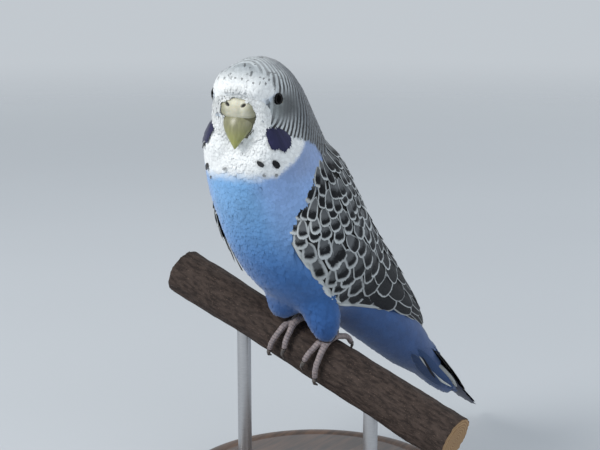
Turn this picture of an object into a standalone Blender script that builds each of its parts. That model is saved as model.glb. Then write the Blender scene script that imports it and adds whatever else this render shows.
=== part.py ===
"""A life-size budgerigar gripping a short cut length of branch, on a plain display stand.

The row frame has +Z up. The bird's body heads along -Y, its left side is at +X, and the origin is the
centre of the stand base's underside. Places on the bird are given as forward of and above the point
midway between its feet, where they grip the branch.
"""

import math

import bmesh
import bpy
from mathutils import Matrix, Vector

MM = 0.001
GAP = 0.3 * MM  # clearance between neighbouring pieces
TUBE_POLE = 0.6  # how far a tube's ends bulge, in radii

# The stand and the branch
BASE_RADIUS = 45 * MM
BASE_HEIGHT = 10 * MM
BASE_BEVEL = 2 * MM
BASE_SIDES, ROD_SIDES = 36, 16
GRIP_HEIGHT = 58 * MM  # of the point between the feet above the table
GRIP_FORWARD = 6 * MM  # of that point from the base's centre
PERCH_RADIUS = 7.5 * MM
PERCH_LENGTH = 108 * MM
PERCH_RINGS, PERCH_SIDES = 17, 14
PERCH_TILT = math.radians(19)  # down towards the bird's left
PERCH_AXIS_FORWARD = -2.0 * MM
PERCH_AXIS_ABOVE = -4.8 * MM
PERCH_KNOTS = ((-36 * MM, 0.5, 0.13), (40 * MM, 2.4, 0.11))  # along, angle, share of the radius
KNOT_LENGTH = 6 * MM
KNOT_ANGLE = 0.6
ROD_RADIUS = 2.2 * MM
ROD_PLACES = (-26 * MM, 22 * MM)  # along X

# The head's turn from the body's heading
HEAD_TURN = math.radians(15)  # towards the bird's left
HEAD_ROLL = math.radians(3)  # left side down
HEAD_PIVOT = (23.0, 76.0)  # forward, above, in mm
HEAD_ASIDE = 1.3 * MM  # how far the head's middle is to the left of the body's
TURN_WHOLE_TO, TURN_NONE_FROM = 6.0, 10.0  # body stations between which the neck twists

# Outline of head, neck, trunk and tail coverts in the bird's middle plane, in mm:
# back forward, back above, belly forward, belly above, half width, how far the width sits low
BODY_STATIONS = (
    (39.0, 77.2, 36.8, 66.4, 4.8, 0.00),  # round the cere
    (40.9, 79.0, 37.6, 64.2, 6.5, 0.00),  # forehead
    (39.8, 82.6, 38.1, 62.4, 8.9, 0.02),
    (35.8, 85.8, 38.6, 60.6, 10.3, 0.06),
    (28.8, 87.0, 38.7, 58.4, 11.4, 0.12),  # crown
    (19.8, 86.0, 38.2, 55.4, 12.8, 0.13),
    (11.4, 81.8, 36.9, 51.6, 14.0, 0.13),  # back of the head, throat
    (4.8, 75.2, 34.9, 46.6, 14.8, 0.12),
    (0.0, 67.2, 32.2, 40.0, 16.0, 0.10),  # nape, upper chest
    (-3.4, 58.4, 28.4, 31.6, 16.8, 0.06),
    (-7.9, 48.5, 22.0, 22.6, 17.2, 0.04),  # shoulders, breast
    (-14.6, 38.8, 13.2, 14.4, 16.6, 0.04),
    (-23.2, 29.5, 2.6, 9.2, 15.0, 0.04),  # back, belly
    (-32.8, 20.5, -10.4, 4.2, 12.9, 0.02),
    (-43.0, 11.2, -25.4, -5.2, 10.9, 0.00),  # rump, vent
    (-53.4, 0.9, -40.4, -15.0, 9.2, 0.00),
    (-62.6, -9.0, -54.0, -23.6, 7.8, 0.00),
    (-71.0, -21.6, -69.5, -31.6, 6.4, 0.00),  # under the tail
    (-79.0, -32.2, -79.0, -38.4, 4.8, 0.00),
    (-86.4, -38.6, -86.8, -42.8, 2.4, 0.00),  # tip of the tail coverts
)
BODY_END = (-88.6, -42.9)  # forward, above
BODY_RINGS_PER_STATION = 2
BODY_SIDES = 24
HEAD_END, NECK_END = 6.1, 8.6  # body stations of the thin cuts that part head, neck and trunk

# Wing edge on the body: body station, angle from the belly to its lower and upper edge in degrees,
# and thickness in mm at its crown
WING_STATIONS = (
    (8.05, 78, 118, 0.6),  # shoulder
    (8.45, 55, 138, 2.0),
    (9.0, 44, 154, 2.9),
    (9.8, 44, 166, 3.3),
    (10.7, 48, 173, 3.3),
    (11.6, 54, 175.5, 3.1),
    (12.5, 65, 176, 2.8),
    (13.4, 79, 176, 2.4),
    (14.3, 96, 176, 1.9),
    (15.1, 116, 175, 1.4),
    (16.1, 146, 171, 0.7),  # tips of the primaries
)
RIGHT_WING_BACK = 8  # degrees that the right wing's front edge lies further back at the chest
WING_EDGE = 1.0 * MM  # thickness of the edges over the body
WING_SINK = 1.2 * MM  # how far the uncut wing reaches into the body
WING_RINGS = 19
WING_ACROSS = 8

# Tail: middle line in the bird's middle plane, with half width and half thickness, in mm
TAIL_STATIONS = (
    (-54.0, -6.4, 5.2, 1.8),
    (-62.0, -14.0, 6.2, 2.0),
    (-72.0, -23.8, 7.0, 1.9),
    (-81.0, -32.4, 6.6, 1.6),
    (-90.0, -40.2, 5.2, 1.2),
    (-100.0, -47.6, 3.4, 0.8),
    (-108.8, -53.3, 1.6, 0.45),
)
TAIL_RINGS, TAIL_SIDES = 13, 12

# The bill, in the head's frame before its turn, in mm:
# culmen forward, above, cutting edge forward, above, half width
UPPER_BILL = (
    (33.5, 75.2, 32.5, 68.6, 4.2),
    (36.5, 74.6, 35.5, 68.2, 4.6),
    (39.0, 73.2, 37.0, 67.8, 4.8),
    (40.8, 71.2, 38.0, 67.2, 4.3),
    (41.6, 68.7, 38.6, 66.2, 3.2),
    (41.5, 66.2, 39.1, 65.2, 2.0),
    (40.9, 64.2, 39.5, 64.0, 1.0),
)
UPPER_TIP = (40.2, 62.9)
UPPER_RINGS, UPPER_SIDES = 9, 12
LOWER_BILL = (
    (32.0, 68.4, 32.0, 65.2, 3.2),
    (35.2, 68.0, 34.8, 64.8, 3.2),
    (37.2, 67.2, 36.8, 64.9, 2.6),
    (38.4, 66.2, 38.2, 65.2, 1.5),
)
LOWER_TIP = (38.9, 65.4)
LOWER_RINGS, LOWER_SIDES = 5, 10
BILL_KEEL = 0.15  # how much wider the bill is low down

# Cere and eyes, in mm: places are forward, above
CERE_CENTRE = (38.0, 74.2)
CERE_LOBE_SIDE = 2.1
CERE_LOBE = (2.9, 3.2, 3.0)  # half sizes sideways, forward, up
NOSTRIL_PLACE = (40.8, 75.2)
NOSTRIL = (0.55, 0.9, 0.4)
EYE_PLACE = (34.0, 76.0)
EYE_SIDE = 8.2
EYE_RADIUS = 2.4

# The legs, in mm: places are forward, above, side for the left leg
LEG_SIDE = 6.0
THIGH_PATH = ((4.0, 17.0, 5.0), (3.6, 12.5, 7.2), (3.0, 9.0, 8.6), (2.2, 6.0, 9.4))
THIGH_RADII = (4.6, 6.0, 6.0, 4.4)
RIGHT_THIGH_SIDE = 0.78  # how far out the right thigh lies, to the left one's 1
RIGHT_THIGH_RISE = 0.25  # share of the branch's slope that the right thigh follows
SHANK_TOP = (2.8, 8.4, 7.2)
SHANK_RADIUS = 1.2
SHANK_ENDS = 1.15  # how much thicker the shank is at its joints
PAD_BETA = math.radians(24)  # where the foot stands round the branch, forward of its top
PAD_RADII = (2.2, 2.5, 1.5)
TOE_RADIUS = 1.05
TOE_TAPER = 0.22
TOE_STEPS, CLAW_STEPS = 7, 5
TOE_SIDES = 7
KNUCKLE = 0.35
CLAW_RADIUS = 0.8
CLAW_TAPER = 0.72
CLAW_LIFT, CLAW_ARCH, CLAW_DROP = 0.35, 0.5, 0.8
CLAW_ROOT = 0.3  # how far past the toe's last joint the claw starts
CLAW_LENGTH = 4.0
# Each toe: name, way round the branch, length in mm, and how far its end spreads sideways, in mm
TOES = (
    ("front_inner", 1, 9.0, -2.4),
    ("front_outer", 1, 12.0, 2.6),
    ("rear_inner", -1, 7.0, -2.2),
    ("rear_outer", -1, 10.5, 2.4),
)


def bird_place(forward, above, side=0.0):
    """The point of the row frame that is so far forward of and above the grip, in mm."""
    return Vector((side * MM, -(forward * MM + GRIP_FORWARD), GRIP_HEIGHT + above * MM))


def smooth_at(rows, where):
    """Values on a smooth curve through rows, at a fractional row number."""
    last = len(rows) - 1
    low = min(max(int(math.floor(where)), 0), last - 1)
    t = where - low
    found = []
    for column in range(len(rows[0])):
        p1, p2 = rows[low][column], rows[low + 1][column]
        p0 = rows[low - 1][column] if low > 0 else 2 * p1 - p2
        p3 = rows[low + 2][column] if low + 2 <= last else 2 * p2 - p1
        slope1, slope2 = (p2 - p0) / 2, (p3 - p1) / 2
        found.append(
            p1 * (2 * t**3 - 3 * t**2 + 1)
            + p2 * (3 * t**2 - 2 * t**3)
            + slope1 * (t**3 - 2 * t**2 + t)
            + slope2 * (t**3 - t**2)
        )
    return found


def smooth_share(where, start, end):
    """0 before start, 1 after end, and a smooth rise between."""
    t = min(max((where - start) / (end - start), 0.0), 1.0)
    return t * t * (3 - 2 * t)


def head_matrix(share=1.0):
    """The head's turn and roll about its pivot, or a share of it."""
    pivot = Matrix.Translation(bird_place(*HEAD_PIVOT))
    turn = Matrix.Rotation(HEAD_TURN * share, 4, "Z")
    roll = Matrix.Rotation(HEAD_ROLL * share, 4, "Y")
    return Matrix.Translation((HEAD_ASIDE * share, 0, 0)) @ pivot @ turn @ roll @ pivot.inverted()


def body_point(where, angle, grow=0.0):
    """A point of the body's outline at a station and an angle from the belly, in radians, to the left."""
    back_f, back_h, belly_f, belly_h, half_width, low = smooth_at(BODY_STATIONS, where)
    back, belly = bird_place(back_f, back_h), bird_place(belly_f, belly_h)
    centre, down = (back + belly) / 2, (belly - back) / 2
    down += down.normalized() * grow
    half = half_width * MM + grow
    wide = half * math.sin(angle) * (1 + low * math.cos(angle))
    point = centre + down * math.cos(angle) + Vector((wide, 0, 0))
    share = 1 - smooth_share(where, TURN_WHOLE_TO, TURN_NONE_FROM)
    return head_matrix(share) @ point


def loft(rings, first_pole=None, last_pole=None):
    """A closed bmesh over rings of equally many points, its ends closed by a face or fans to a pole."""
    mesh = bmesh.new()
    loops = [[mesh.verts.new(p) for p in ring] for ring in rings]
    sides = len(loops[0])
    for a, b in zip(loops, loops[1:]):
        for i in range(sides):
            j = (i + 1) % sides
            mesh.faces.new((a[i], a[j], b[j], b[i]))
    for loop, pole in ((loops[0], first_pole), (loops[-1], last_pole)):
        if pole is None:
            mesh.faces.new(loop)
            continue
        tip = mesh.verts.new(pole)
        for i in range(sides):
            mesh.faces.new((loop[i], loop[(i + 1) % sides], tip))
    bmesh.ops.recalc_face_normals(mesh, faces=mesh.faces)
    return mesh


def material(name, colour, roughness, metallic=0.0):
    """A Principled material, made once."""
    found = bpy.data.materials.get(name)
    if found:
        return found
    made = bpy.data.materials.new(name)
    made.use_nodes = True
    shader = made.node_tree.nodes["Principled BSDF"]
    shader.inputs["Base Color"].default_value = (*colour, 1.0)
    shader.inputs["Roughness"].default_value = roughness
    shader.inputs["Metallic"].default_value = metallic
    made.diffuse_color = (*colour, 1.0)
    return made


def white_plumage():
    return material("white_plumage", (0.82, 0.84, 0.86), 0.8)


def blue_plumage():
    return material("blue_plumage", (0.16, 0.36, 0.72), 0.75)


def barred_plumage():
    return material("barred_plumage", (0.10, 0.11, 0.12), 0.7)


def navy_plumage():
    return material("navy_plumage", (0.03, 0.05, 0.16), 0.6)


def grey_skin():
    return material("grey_skin", (0.42, 0.36, 0.36), 0.6)


def dark_claw():
    return material("dark_claw", (0.08, 0.07, 0.07), 0.35)


def horn():
    return material("horn", (0.55, 0.55, 0.24), 0.35)


def cere_skin():
    return material("cere_skin", (0.66, 0.62, 0.50), 0.5)


def dark_eye():
    return material("dark_eye", (0.01, 0.01, 0.01), 0.05)


def bark():
    return material("bark", (0.16, 0.10, 0.08), 0.85)


def stained_wood():
    return material("stained_wood", (0.10, 0.06, 0.04), 0.45)


def rod_steel():
    return material("rod_steel", (0.55, 0.55, 0.56), 0.35, 1.0)


def add(name, mesh, look, sharp_degrees=60):
    """Puts a bmesh in the scene as an object, shaded smooth with sharp edges above an angle."""
    data = bpy.data.meshes.new(name)
    mesh.to_mesh(data)
    mesh.free()
    data.shade_smooth()
    data.set_sharp_from_angle(angle=math.radians(sharp_degrees))
    data.materials.append(look)
    made = bpy.data.objects.new(name, data)
    bpy.context.scene.collection.objects.link(made)
    return made


def cutter(name, mesh):
    """Puts a bmesh in the scene as a helper that the model leaves out."""
    made = add(name, mesh, bark())
    made.hide_render = True
    made.display_type = "WIRE"
    return made


def combine(obj, other, operation, solver="EXACT"):
    """Adds a Boolean with another object to obj."""
    boolean = obj.modifiers.new(f"{operation.lower()}_{other.name}", "BOOLEAN")
    boolean.solver = solver
    boolean.operation = operation
    boolean.object = other
    return obj


def tube(points, radii, sides=8):
    """A closed bmesh round a path with a radius at each point. Its ends close to poles just past them."""
    rings = []
    side = None
    for i, (point, radius) in enumerate(zip(points, radii)):
        ahead = (points[min(i + 1, len(points) - 1)] - points[max(i - 1, 0)]).normalized()
        if side is None:
            side = ahead.orthogonal().normalized()
        side = (side - ahead * side.dot(ahead)).normalized()
        other = ahead.cross(side)
        ring = []
        for k in range(sides):
            angle = 2 * math.pi * k / sides
            ring.append(point + (side * math.cos(angle) + other * math.sin(angle)) * radius)
        rings.append(ring)
    start = points[0] - (points[1] - points[0]).normalized() * radii[0] * TUBE_POLE
    end = points[-1] + (points[-1] - points[-2]).normalized() * radii[-1] * TUBE_POLE
    return loft(rings, start, end)


def ellipsoid(centre, radii, sides, rings, turn=None):
    """A closed bmesh ellipsoid about a point."""
    mesh = bmesh.new()
    bmesh.ops.create_uvsphere(mesh, u_segments=sides, v_segments=rings, radius=1.0)
    matrix = Matrix.Translation(centre) @ (turn or Matrix()) @ Matrix.Diagonal((*radii, 1.0))
    bmesh.ops.transform(mesh, matrix=matrix, verts=mesh.verts)
    return mesh


def body_mesh(grow=0.0):
    """Head, neck, trunk and tail coverts as one closed bmesh."""
    count = (len(BODY_STATIONS) - 1) * BODY_RINGS_PER_STATION
    rings = []
    for i in range(count + 1):
        where = i / BODY_RINGS_PER_STATION
        rings.append([body_point(where, 2 * math.pi * k / BODY_SIDES, grow) for k in range(BODY_SIDES)])
    return loft(rings, None, bird_place(*BODY_END) + Vector((0, grow, 0)))


def cut_plane(where):
    """A point and a normal towards the tail, for a cut across the body at a station."""
    back, belly = body_point(where, math.pi), body_point(where, 0.0)
    left, right = body_point(where, math.pi / 2), body_point(where, -math.pi / 2)
    normal = (left - right).cross(belly - back).normalized()
    towards_tail = body_point(where + 1, 0.0) + body_point(where + 1, math.pi) - back - belly
    if normal.dot(towards_tail) < 0:
        normal = -normal
    return (back + belly) / 2, normal


def body_slice(start, end):
    """The body's bmesh between two cuts, or to its own end where a cut is None."""
    mesh = body_mesh()
    for where, sign in ((start, 1), (end, -1)):
        if where is None:
            continue
        point, normal = cut_plane(where)
        bmesh.ops.bisect_plane(
            mesh,
            geom=mesh.verts[:] + mesh.edges[:] + mesh.faces[:],
            plane_co=point + normal * sign * GAP / 2,
            plane_no=normal,
            clear_inner=sign > 0,
            clear_outer=sign < 0,
        )
        rim = [edge for edge in mesh.edges if edge.is_boundary]
        bmesh.ops.holes_fill(mesh, edges=rim, sides=0)
    bmesh.ops.recalc_face_normals(mesh, faces=mesh.faces)
    return mesh


def bill_mesh(stations, tip, rings, sides, grow=0.0):
    """A half of the bill as a closed bmesh, in the turned head's place."""
    loops = []
    for i in range(rings):
        top_f, top_h, edge_f, edge_h, half = smooth_at(stations, i * (len(stations) - 1) / (rings - 1))
        top, edge = bird_place(top_f, top_h), bird_place(edge_f, edge_h)
        centre, down = (top + edge) / 2, (edge - top) / 2
        down += down.normalized() * grow
        loop = []
        for k in range(sides):
            angle = 2 * math.pi * k / sides
            wide = (half * MM + grow) * math.sin(angle) * (1 + BILL_KEEL * math.cos(angle))
            loop.append(centre + down * math.cos(angle) + Vector((wide, 0, 0)))
        loops.append(loop)
    ahead = bird_place(*tip) - (loops[-1][0] + loops[-1][sides // 2]) / 2
    mesh = loft(loops, None, bird_place(*tip) + ahead.normalized() * grow)
    bmesh.ops.transform(mesh, matrix=head_matrix(), verts=mesh.verts)
    return mesh


def upper_bill_mesh(grow=0.0):
    return bill_mesh(UPPER_BILL, UPPER_TIP, UPPER_RINGS, UPPER_SIDES, grow)


def lower_bill_mesh(grow=0.0):
    return bill_mesh(LOWER_BILL, LOWER_TIP, LOWER_RINGS, LOWER_SIDES, grow)


def head_ellipsoid(place, side, radii, sides, rings, grow=0.0):
    """An ellipsoid on the turned head, with its sizes in mm."""
    mesh = ellipsoid(bird_place(*place, side), [r * MM + grow for r in radii], sides, rings)
    bmesh.ops.transform(mesh, matrix=head_matrix(), verts=mesh.verts)
    return mesh


def cere_lobe_mesh(sign, grow=0.0):
    return head_ellipsoid(CERE_CENTRE, sign * CERE_LOBE_SIDE, CERE_LOBE, 12, 8, grow)


def eye_mesh(sign, grow=0.0):
    return head_ellipsoid(EYE_PLACE, sign * EYE_SIDE, (EYE_RADIUS,) * 3, 12, 8, grow)


def add_head():
    """The head, with sockets for bill, cere and eyes."""
    head = add("head", body_slice(None, HEAD_END), white_plumage())
    combine(head, cutter("upper_bill_socket", upper_bill_mesh(GAP)), "DIFFERENCE")
    combine(head, cutter("lower_bill_socket", lower_bill_mesh(GAP)), "DIFFERENCE")
    for name, sign in (("left", 1), ("right", -1)):
        combine(head, cutter(f"cere_socket_{name}", cere_lobe_mesh(sign, GAP)), "DIFFERENCE")
        combine(head, cutter(f"eye_socket_{name}", eye_mesh(sign, GAP)), "DIFFERENCE")


def add_bill():
    """Upper and lower bill. The lower is cut where the upper closes over it."""
    add("bill_upper", upper_bill_mesh(), horn())
    lower = add("bill_lower", lower_bill_mesh(), horn())
    combine(lower, bpy.data.objects["upper_bill_socket"], "DIFFERENCE")


def add_cere():
    """The cere: two swollen lobes over the bill's root, each with a nostril."""
    cere = add("cere", cere_lobe_mesh(1), cere_skin())
    combine(cere, cutter("cere_right_lobe", cere_lobe_mesh(-1)), "UNION", "MANIFOLD")
    combine(cere, bpy.data.objects["upper_bill_socket"], "DIFFERENCE", "MANIFOLD")
    for name, sign in (("left", 1), ("right", -1)):
        hole = head_ellipsoid(NOSTRIL_PLACE, sign * CERE_LOBE_SIDE, NOSTRIL, 8, 6)
        combine(cere, cutter(f"nostril_{name}", hole), "DIFFERENCE", "MANIFOLD")


def add_eyes():
    for name, sign in (("left", 1), ("right", -1)):
        add(f"eye_{name}", eye_mesh(sign), dark_eye())


def wing_ring(where, sign):
    """A ring across the folded wing at a share of its length: outer side up, then inner side down."""
    station, low, high, thick = smooth_at(WING_STATIONS, where * (len(WING_STATIONS) - 1))
    if sign < 0:
        low += RIGHT_WING_BACK * (1 - smooth_share(station, 9.5, 11.5))
    outer, inner = [], []
    for k in range(WING_ACROSS):
        share = k / (WING_ACROSS - 1)
        angle = math.radians(low + (high - low) * share) * sign
        swell = math.sin(math.pi * share) ** 0.6
        outer.append(body_point(station, angle, WING_EDGE + thick * MM * swell))
        inner.append(body_point(station, angle, -WING_SINK))
    return outer + inner[::-1]


def add_wing(name, sign):
    """A folded wing over the trunk's side, cut to lie on it."""
    rings = [wing_ring(i / (WING_RINGS - 1), sign) for i in range(WING_RINGS)]
    wing = add(f"wing_{name}", loft(rings), barred_plumage())
    combine(wing, bpy.data.objects["body_clearance"], "DIFFERENCE")


def tail_station(index):
    """Middle place, half width and half thickness of the tail at one of its rings."""
    last = len(TAIL_STATIONS) - 1
    where = min(max(index, 0), TAIL_RINGS - 1) * last / (TAIL_RINGS - 1)
    forward, above, half, thick = smooth_at(TAIL_STATIONS, where)
    return bird_place(forward, above), half * MM, thick * MM


def add_tail():
    """The closed tail: its middle feathers are the longest."""
    rings = []
    for i in range(TAIL_RINGS):
        centre, half, thick = tail_station(i)
        ahead = (tail_station(i + 1)[0] - tail_station(i - 1)[0]).normalized()
        upward = Vector((1, 0, 0)).cross(ahead).normalized()
        ring = []
        for k in range(TAIL_SIDES):
            angle = 2 * math.pi * k / TAIL_SIDES
            ring.append(centre + Vector((half * math.cos(angle), 0, 0)) + upward * thick * math.sin(angle))
        rings.append(ring)
    tail = add("tail", loft(rings), navy_plumage())
    combine(tail, bpy.data.objects["body_clearance"], "DIFFERENCE")


def perch_frame():
    """The branch's middle point, its axis towards the bird's left, and its upward and forward directions."""
    centre = bird_place(PERCH_AXIS_FORWARD / MM, PERCH_AXIS_ABOVE / MM)
    axis = Vector((math.cos(PERCH_TILT), 0, -math.sin(PERCH_TILT)))
    upward = Vector((math.sin(PERCH_TILT), 0, math.cos(PERCH_TILT)))
    return centre, axis, upward, Vector((0, -1, 0))


def perch_radius(along, angle):
    """The branch's radius, a little uneven, with two low knots."""
    uneven = 0.022 * math.sin(along * 95 + 0.8) + 0.018 * math.sin(angle * 2 + along * 60)
    knots = 0.0
    for knot_along, knot_angle, size in PERCH_KNOTS:
        around = 2 * math.sin((angle - knot_angle) / 2) / KNOT_ANGLE
        if math.cos(angle - knot_angle) > 0:
            knots += size * math.exp(-(((along - knot_along) / KNOT_LENGTH) ** 2) - around**2)
    return PERCH_RADIUS * (1 + uneven + knots)


def perch_mesh(grow=0.0):
    """The cut length of branch as a closed bmesh."""
    centre, axis, upward, ahead = perch_frame()
    rings = []
    for i in range(PERCH_RINGS):
        along = (i / (PERCH_RINGS - 1) - 0.5) * PERCH_LENGTH
        ring = []
        for k in range(PERCH_SIDES):
            angle = 2 * math.pi * k / PERCH_SIDES
            outward = upward * math.cos(angle) + ahead * math.sin(angle)
            ring.append(centre + axis * along + outward * (perch_radius(along, angle) + grow))
        rings.append(ring)
    return loft(rings)


def add_perch():
    add("perch", perch_mesh(), bark())
    cutter("perch_clearance", perch_mesh(GAP))


def round_perch(along, beta, lift):
    """A point at a lift in metres over the branch's bark, at an angle forward of its top."""
    centre, axis, upward, ahead = perch_frame()
    radius = perch_radius(along, beta % (2 * math.pi)) + lift
    return centre + axis * along + (upward * math.cos(beta) + ahead * math.sin(beta)) * radius


def leg_along(sign):
    """How far along the branch from its middle a foot stands."""
    return sign * LEG_SIDE * MM / math.cos(PERCH_TILT)


def toe_path(sign, way, length, spread):
    """The middle line of a toe that bends round the branch, from the foot's pad to the claw's root."""
    reach = PERCH_RADIUS + GAP + TOE_RADIUS * MM
    points = []
    for i in range(TOE_STEPS):
        share = i / (TOE_STEPS - 1)
        beta = PAD_BETA + way * (length * MM * share / reach)
        along = leg_along(sign) + sign * spread * MM * (0.25 + 0.75 * share)
        knuckle = KNUCKLE * math.sin(share * math.pi * 2) ** 2
        points.append(round_perch(along, beta, GAP + (TOE_RADIUS + 0.15 + knuckle) * MM))
    return points


def toe_mesh(sign, way, length, spread, grow=0.0):
    """A toe as a closed bmesh, a little thinner towards its claw."""
    path = toe_path(sign, way, length, spread)
    radii = []
    for i in range(TOE_STEPS):
        radii.append(TOE_RADIUS * MM * (1.05 - TOE_TAPER * i / (TOE_STEPS - 1)) + grow)
    return tube(path, radii, TOE_SIDES)


def claw_mesh(sign, way, length, spread):
    """A claw as a closed bmesh, arched from the toe's end down to the bark."""
    reach = PERCH_RADIUS + GAP + TOE_RADIUS * MM
    points, radii = [], []
    for i in range(CLAW_STEPS):
        share = i / (CLAW_STEPS - 1)
        travel = (length + CLAW_ROOT + CLAW_LENGTH * share) * MM
        beta = PAD_BETA + way * travel / reach
        along = leg_along(sign) + sign * spread * MM * (1 + 0.12 * share)
        arch = CLAW_ARCH * math.sin(math.pi * min(share * 1.3, 1.0)) - CLAW_DROP * share**2
        points.append(round_perch(along, beta, GAP + (CLAW_RADIUS + CLAW_LIFT + arch) * MM))
        radii.append(CLAW_RADIUS * MM * (1 - CLAW_TAPER * share))
    return tube(points, radii, TOE_SIDES)


def leg_place(sign, forward, above, side, share=1.0):
    """A point of a leg, lower on the left, where the branch is lower, by a share of the branch's slope."""
    slope = math.tan(PERCH_TILT) * side * share
    if sign < 0:
        return bird_place(forward, above + slope * RIGHT_THIGH_RISE, -side * RIGHT_THIGH_SIDE)
    return bird_place(forward, above - slope, side)


def thigh_mesh(sign, grow=0.0):
    """A feathered thigh as a closed bmesh."""
    last = len(THIGH_PATH) - 1
    points = [leg_place(sign, *place, i / last) for i, place in enumerate(THIGH_PATH)]
    return tube(points, [r * MM + grow for r in THIGH_RADII], 12)


def shank_mesh(sign, pad_centre):
    """The bare shank as a closed bmesh, from inside the thigh down to the foot's pad."""
    top = leg_place(sign, *SHANK_TOP)
    radii = [SHANK_RADIUS * MM * factor for factor in (SHANK_ENDS, 1.0, 1.0, SHANK_ENDS)]
    return tube([top.lerp(pad_centre, i / 3) for i in range(4)], radii, 8)


def add_leg(name, sign):
    """A feathered thigh, a bare shank, a foot of two toes forward and two back, and their claws."""
    body_clearance, perch_clearance = bpy.data.objects["body_clearance"], bpy.data.objects["perch_clearance"]
    thigh = add(f"thigh_{name}", thigh_mesh(sign), blue_plumage())
    combine(thigh, body_clearance, "DIFFERENCE")
    combine(thigh, perch_clearance, "DIFFERENCE")
    pad_centre = round_perch(leg_along(sign), PAD_BETA, (PAD_RADII[2] + 0.3) * MM + GAP)
    tilt = Matrix.Rotation(PERCH_TILT, 4, "Y") @ Matrix.Rotation(PAD_BETA, 4, "X")
    pad = ellipsoid(pad_centre, [r * MM for r in PAD_RADII], 10, 7, tilt)
    foot = add(f"foot_{name}", pad, grey_skin())
    for toe, way, length, spread in TOES:
        combine(foot, cutter(f"toe_{toe}_{name}", toe_mesh(sign, way, length, spread)), "UNION")
        claw = add(f"claw_{toe}_{name}", claw_mesh(sign, way, length, spread), dark_claw())
        clearance = cutter(f"toe_clearance_{toe}_{name}", toe_mesh(sign, way, length, spread, GAP))
        combine(claw, clearance, "DIFFERENCE")
    combine(foot, perch_clearance, "DIFFERENCE")
    combine(foot, cutter(f"shank_{name}", shank_mesh(sign, pad_centre)), "UNION")
    combine(foot, cutter(f"thigh_clearance_{name}", thigh_mesh(sign, GAP)), "DIFFERENCE")
    combine(foot, body_clearance, "DIFFERENCE")


def cylinder(radius, depth, sides, centre):
    """A closed upright cylinder as a bmesh."""
    mesh = bmesh.new()
    bmesh.ops.create_cone(mesh, cap_ends=True, segments=sides, radius1=radius, radius2=radius, depth=depth)
    bmesh.ops.translate(mesh, vec=centre, verts=mesh.verts)
    return mesh


def add_stand():
    """A round base with a rounded rim, and two rods up to the branch."""
    mesh = cylinder(BASE_RADIUS, BASE_HEIGHT, BASE_SIDES, (0, 0, BASE_HEIGHT / 2))
    top = [v for v in mesh.verts if v.co.z > BASE_HEIGHT / 2]
    rim = [e for e in mesh.edges if e.verts[0] in top and e.verts[1] in top]
    bmesh.ops.bevel(mesh, geom=rim, offset=BASE_BEVEL, segments=3, profile=0.5, affect="EDGES")
    add("stand_base", mesh, stained_wood(), 40)
    centre, axis, _, _ = perch_frame()
    foot = BASE_HEIGHT + GAP
    for number, side in enumerate(ROD_PLACES, 1):
        end = centre + axis * (side / axis.x)
        middle = (end.x, end.y, (foot + end.z) / 2)
        rod = add(f"stand_rod_{number}", cylinder(ROD_RADIUS, end.z - foot, ROD_SIDES, middle), rod_steel())
        combine(rod, bpy.data.objects["perch_clearance"], "DIFFERENCE")


def main():
    for old in list(bpy.data.objects):
        bpy.data.objects.remove(old)
    add_head()
    add("neck", body_slice(HEAD_END, NECK_END), blue_plumage())
    trunk = add("trunk", body_slice(NECK_END, None), blue_plumage())
    cutter("body_clearance", body_mesh(GAP))
    add_bill()
    add_cere()
    add_eyes()
    add_wing("left", 1)
    add_wing("right", -1)
    add_tail()
    add_perch()
    combine(trunk, bpy.data.objects["perch_clearance"], "DIFFERENCE")
    add_leg("left", 1)
    add_leg("right", -1)
    add_stand()


main()
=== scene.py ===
"""Looks of the perched budgerigar: one skin, its feathers, bill, eyes, feet, the branch and the stand."""

from collections import namedtuple
import math

import bmesh
import bpy
import numpy as np
from mathutils import Matrix, Vector
from mathutils.bvhtree import BVHTree


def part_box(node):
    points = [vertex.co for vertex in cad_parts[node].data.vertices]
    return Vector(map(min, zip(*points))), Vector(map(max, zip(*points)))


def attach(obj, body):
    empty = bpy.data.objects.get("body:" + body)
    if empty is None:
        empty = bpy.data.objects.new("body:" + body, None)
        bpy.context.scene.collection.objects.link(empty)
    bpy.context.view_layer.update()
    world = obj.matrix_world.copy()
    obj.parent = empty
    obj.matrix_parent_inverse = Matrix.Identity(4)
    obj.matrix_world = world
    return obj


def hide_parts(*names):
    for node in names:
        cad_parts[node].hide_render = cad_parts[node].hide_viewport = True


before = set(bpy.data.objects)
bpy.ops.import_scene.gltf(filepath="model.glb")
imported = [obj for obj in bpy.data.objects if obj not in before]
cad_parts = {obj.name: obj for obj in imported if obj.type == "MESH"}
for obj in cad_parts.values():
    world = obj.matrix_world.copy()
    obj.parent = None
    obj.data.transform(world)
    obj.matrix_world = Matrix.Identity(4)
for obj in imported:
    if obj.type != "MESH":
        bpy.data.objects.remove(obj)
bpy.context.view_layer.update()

MM = 0.001
GRIP_HEIGHT = 58.0  # of the point between the feet above the table, in mm
GRIP_FORWARD = 6.0  # of that point from the base's centre, in mm
HEAD_TURN, HEAD_ROLL = math.radians(15), math.radians(3)
HEAD_PIVOT = (23.0, 76.0)
HEAD_ASIDE = 1.3
NECK_SPAN = (50, 64)  # heights in mm between which the head's turn fades in
SIDES = (("left", 1), ("right", -1))
FLESH = ("head", "neck", "trunk", "wing_left", "wing_right", "tail", "thigh_left", "thigh_right")
BARE = ("bill_upper", "bill_lower", "cere", "eye_left", "eye_right")

# Middle line of head, trunk and tail, from the bill's root to the tail's tip: forward, above, in mm
SPINE = (
    (39.5, 71.5), (33.7, 72.7), (24.0, 66.7), (16.1, 53.6), (7.0, 35.5), (-10.3, 19.3), (-21.6, 12.3),
    (-34.2, 3.0), (-46.9, -7.0), (-58.3, -16.3), (-70.2, -26.6), (-81.0, -33.4), (-90.0, -40.2),
    (-100.0, -47.6), (-108.8, -53.3),
)
SPINE_STEP = 0.5

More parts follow.
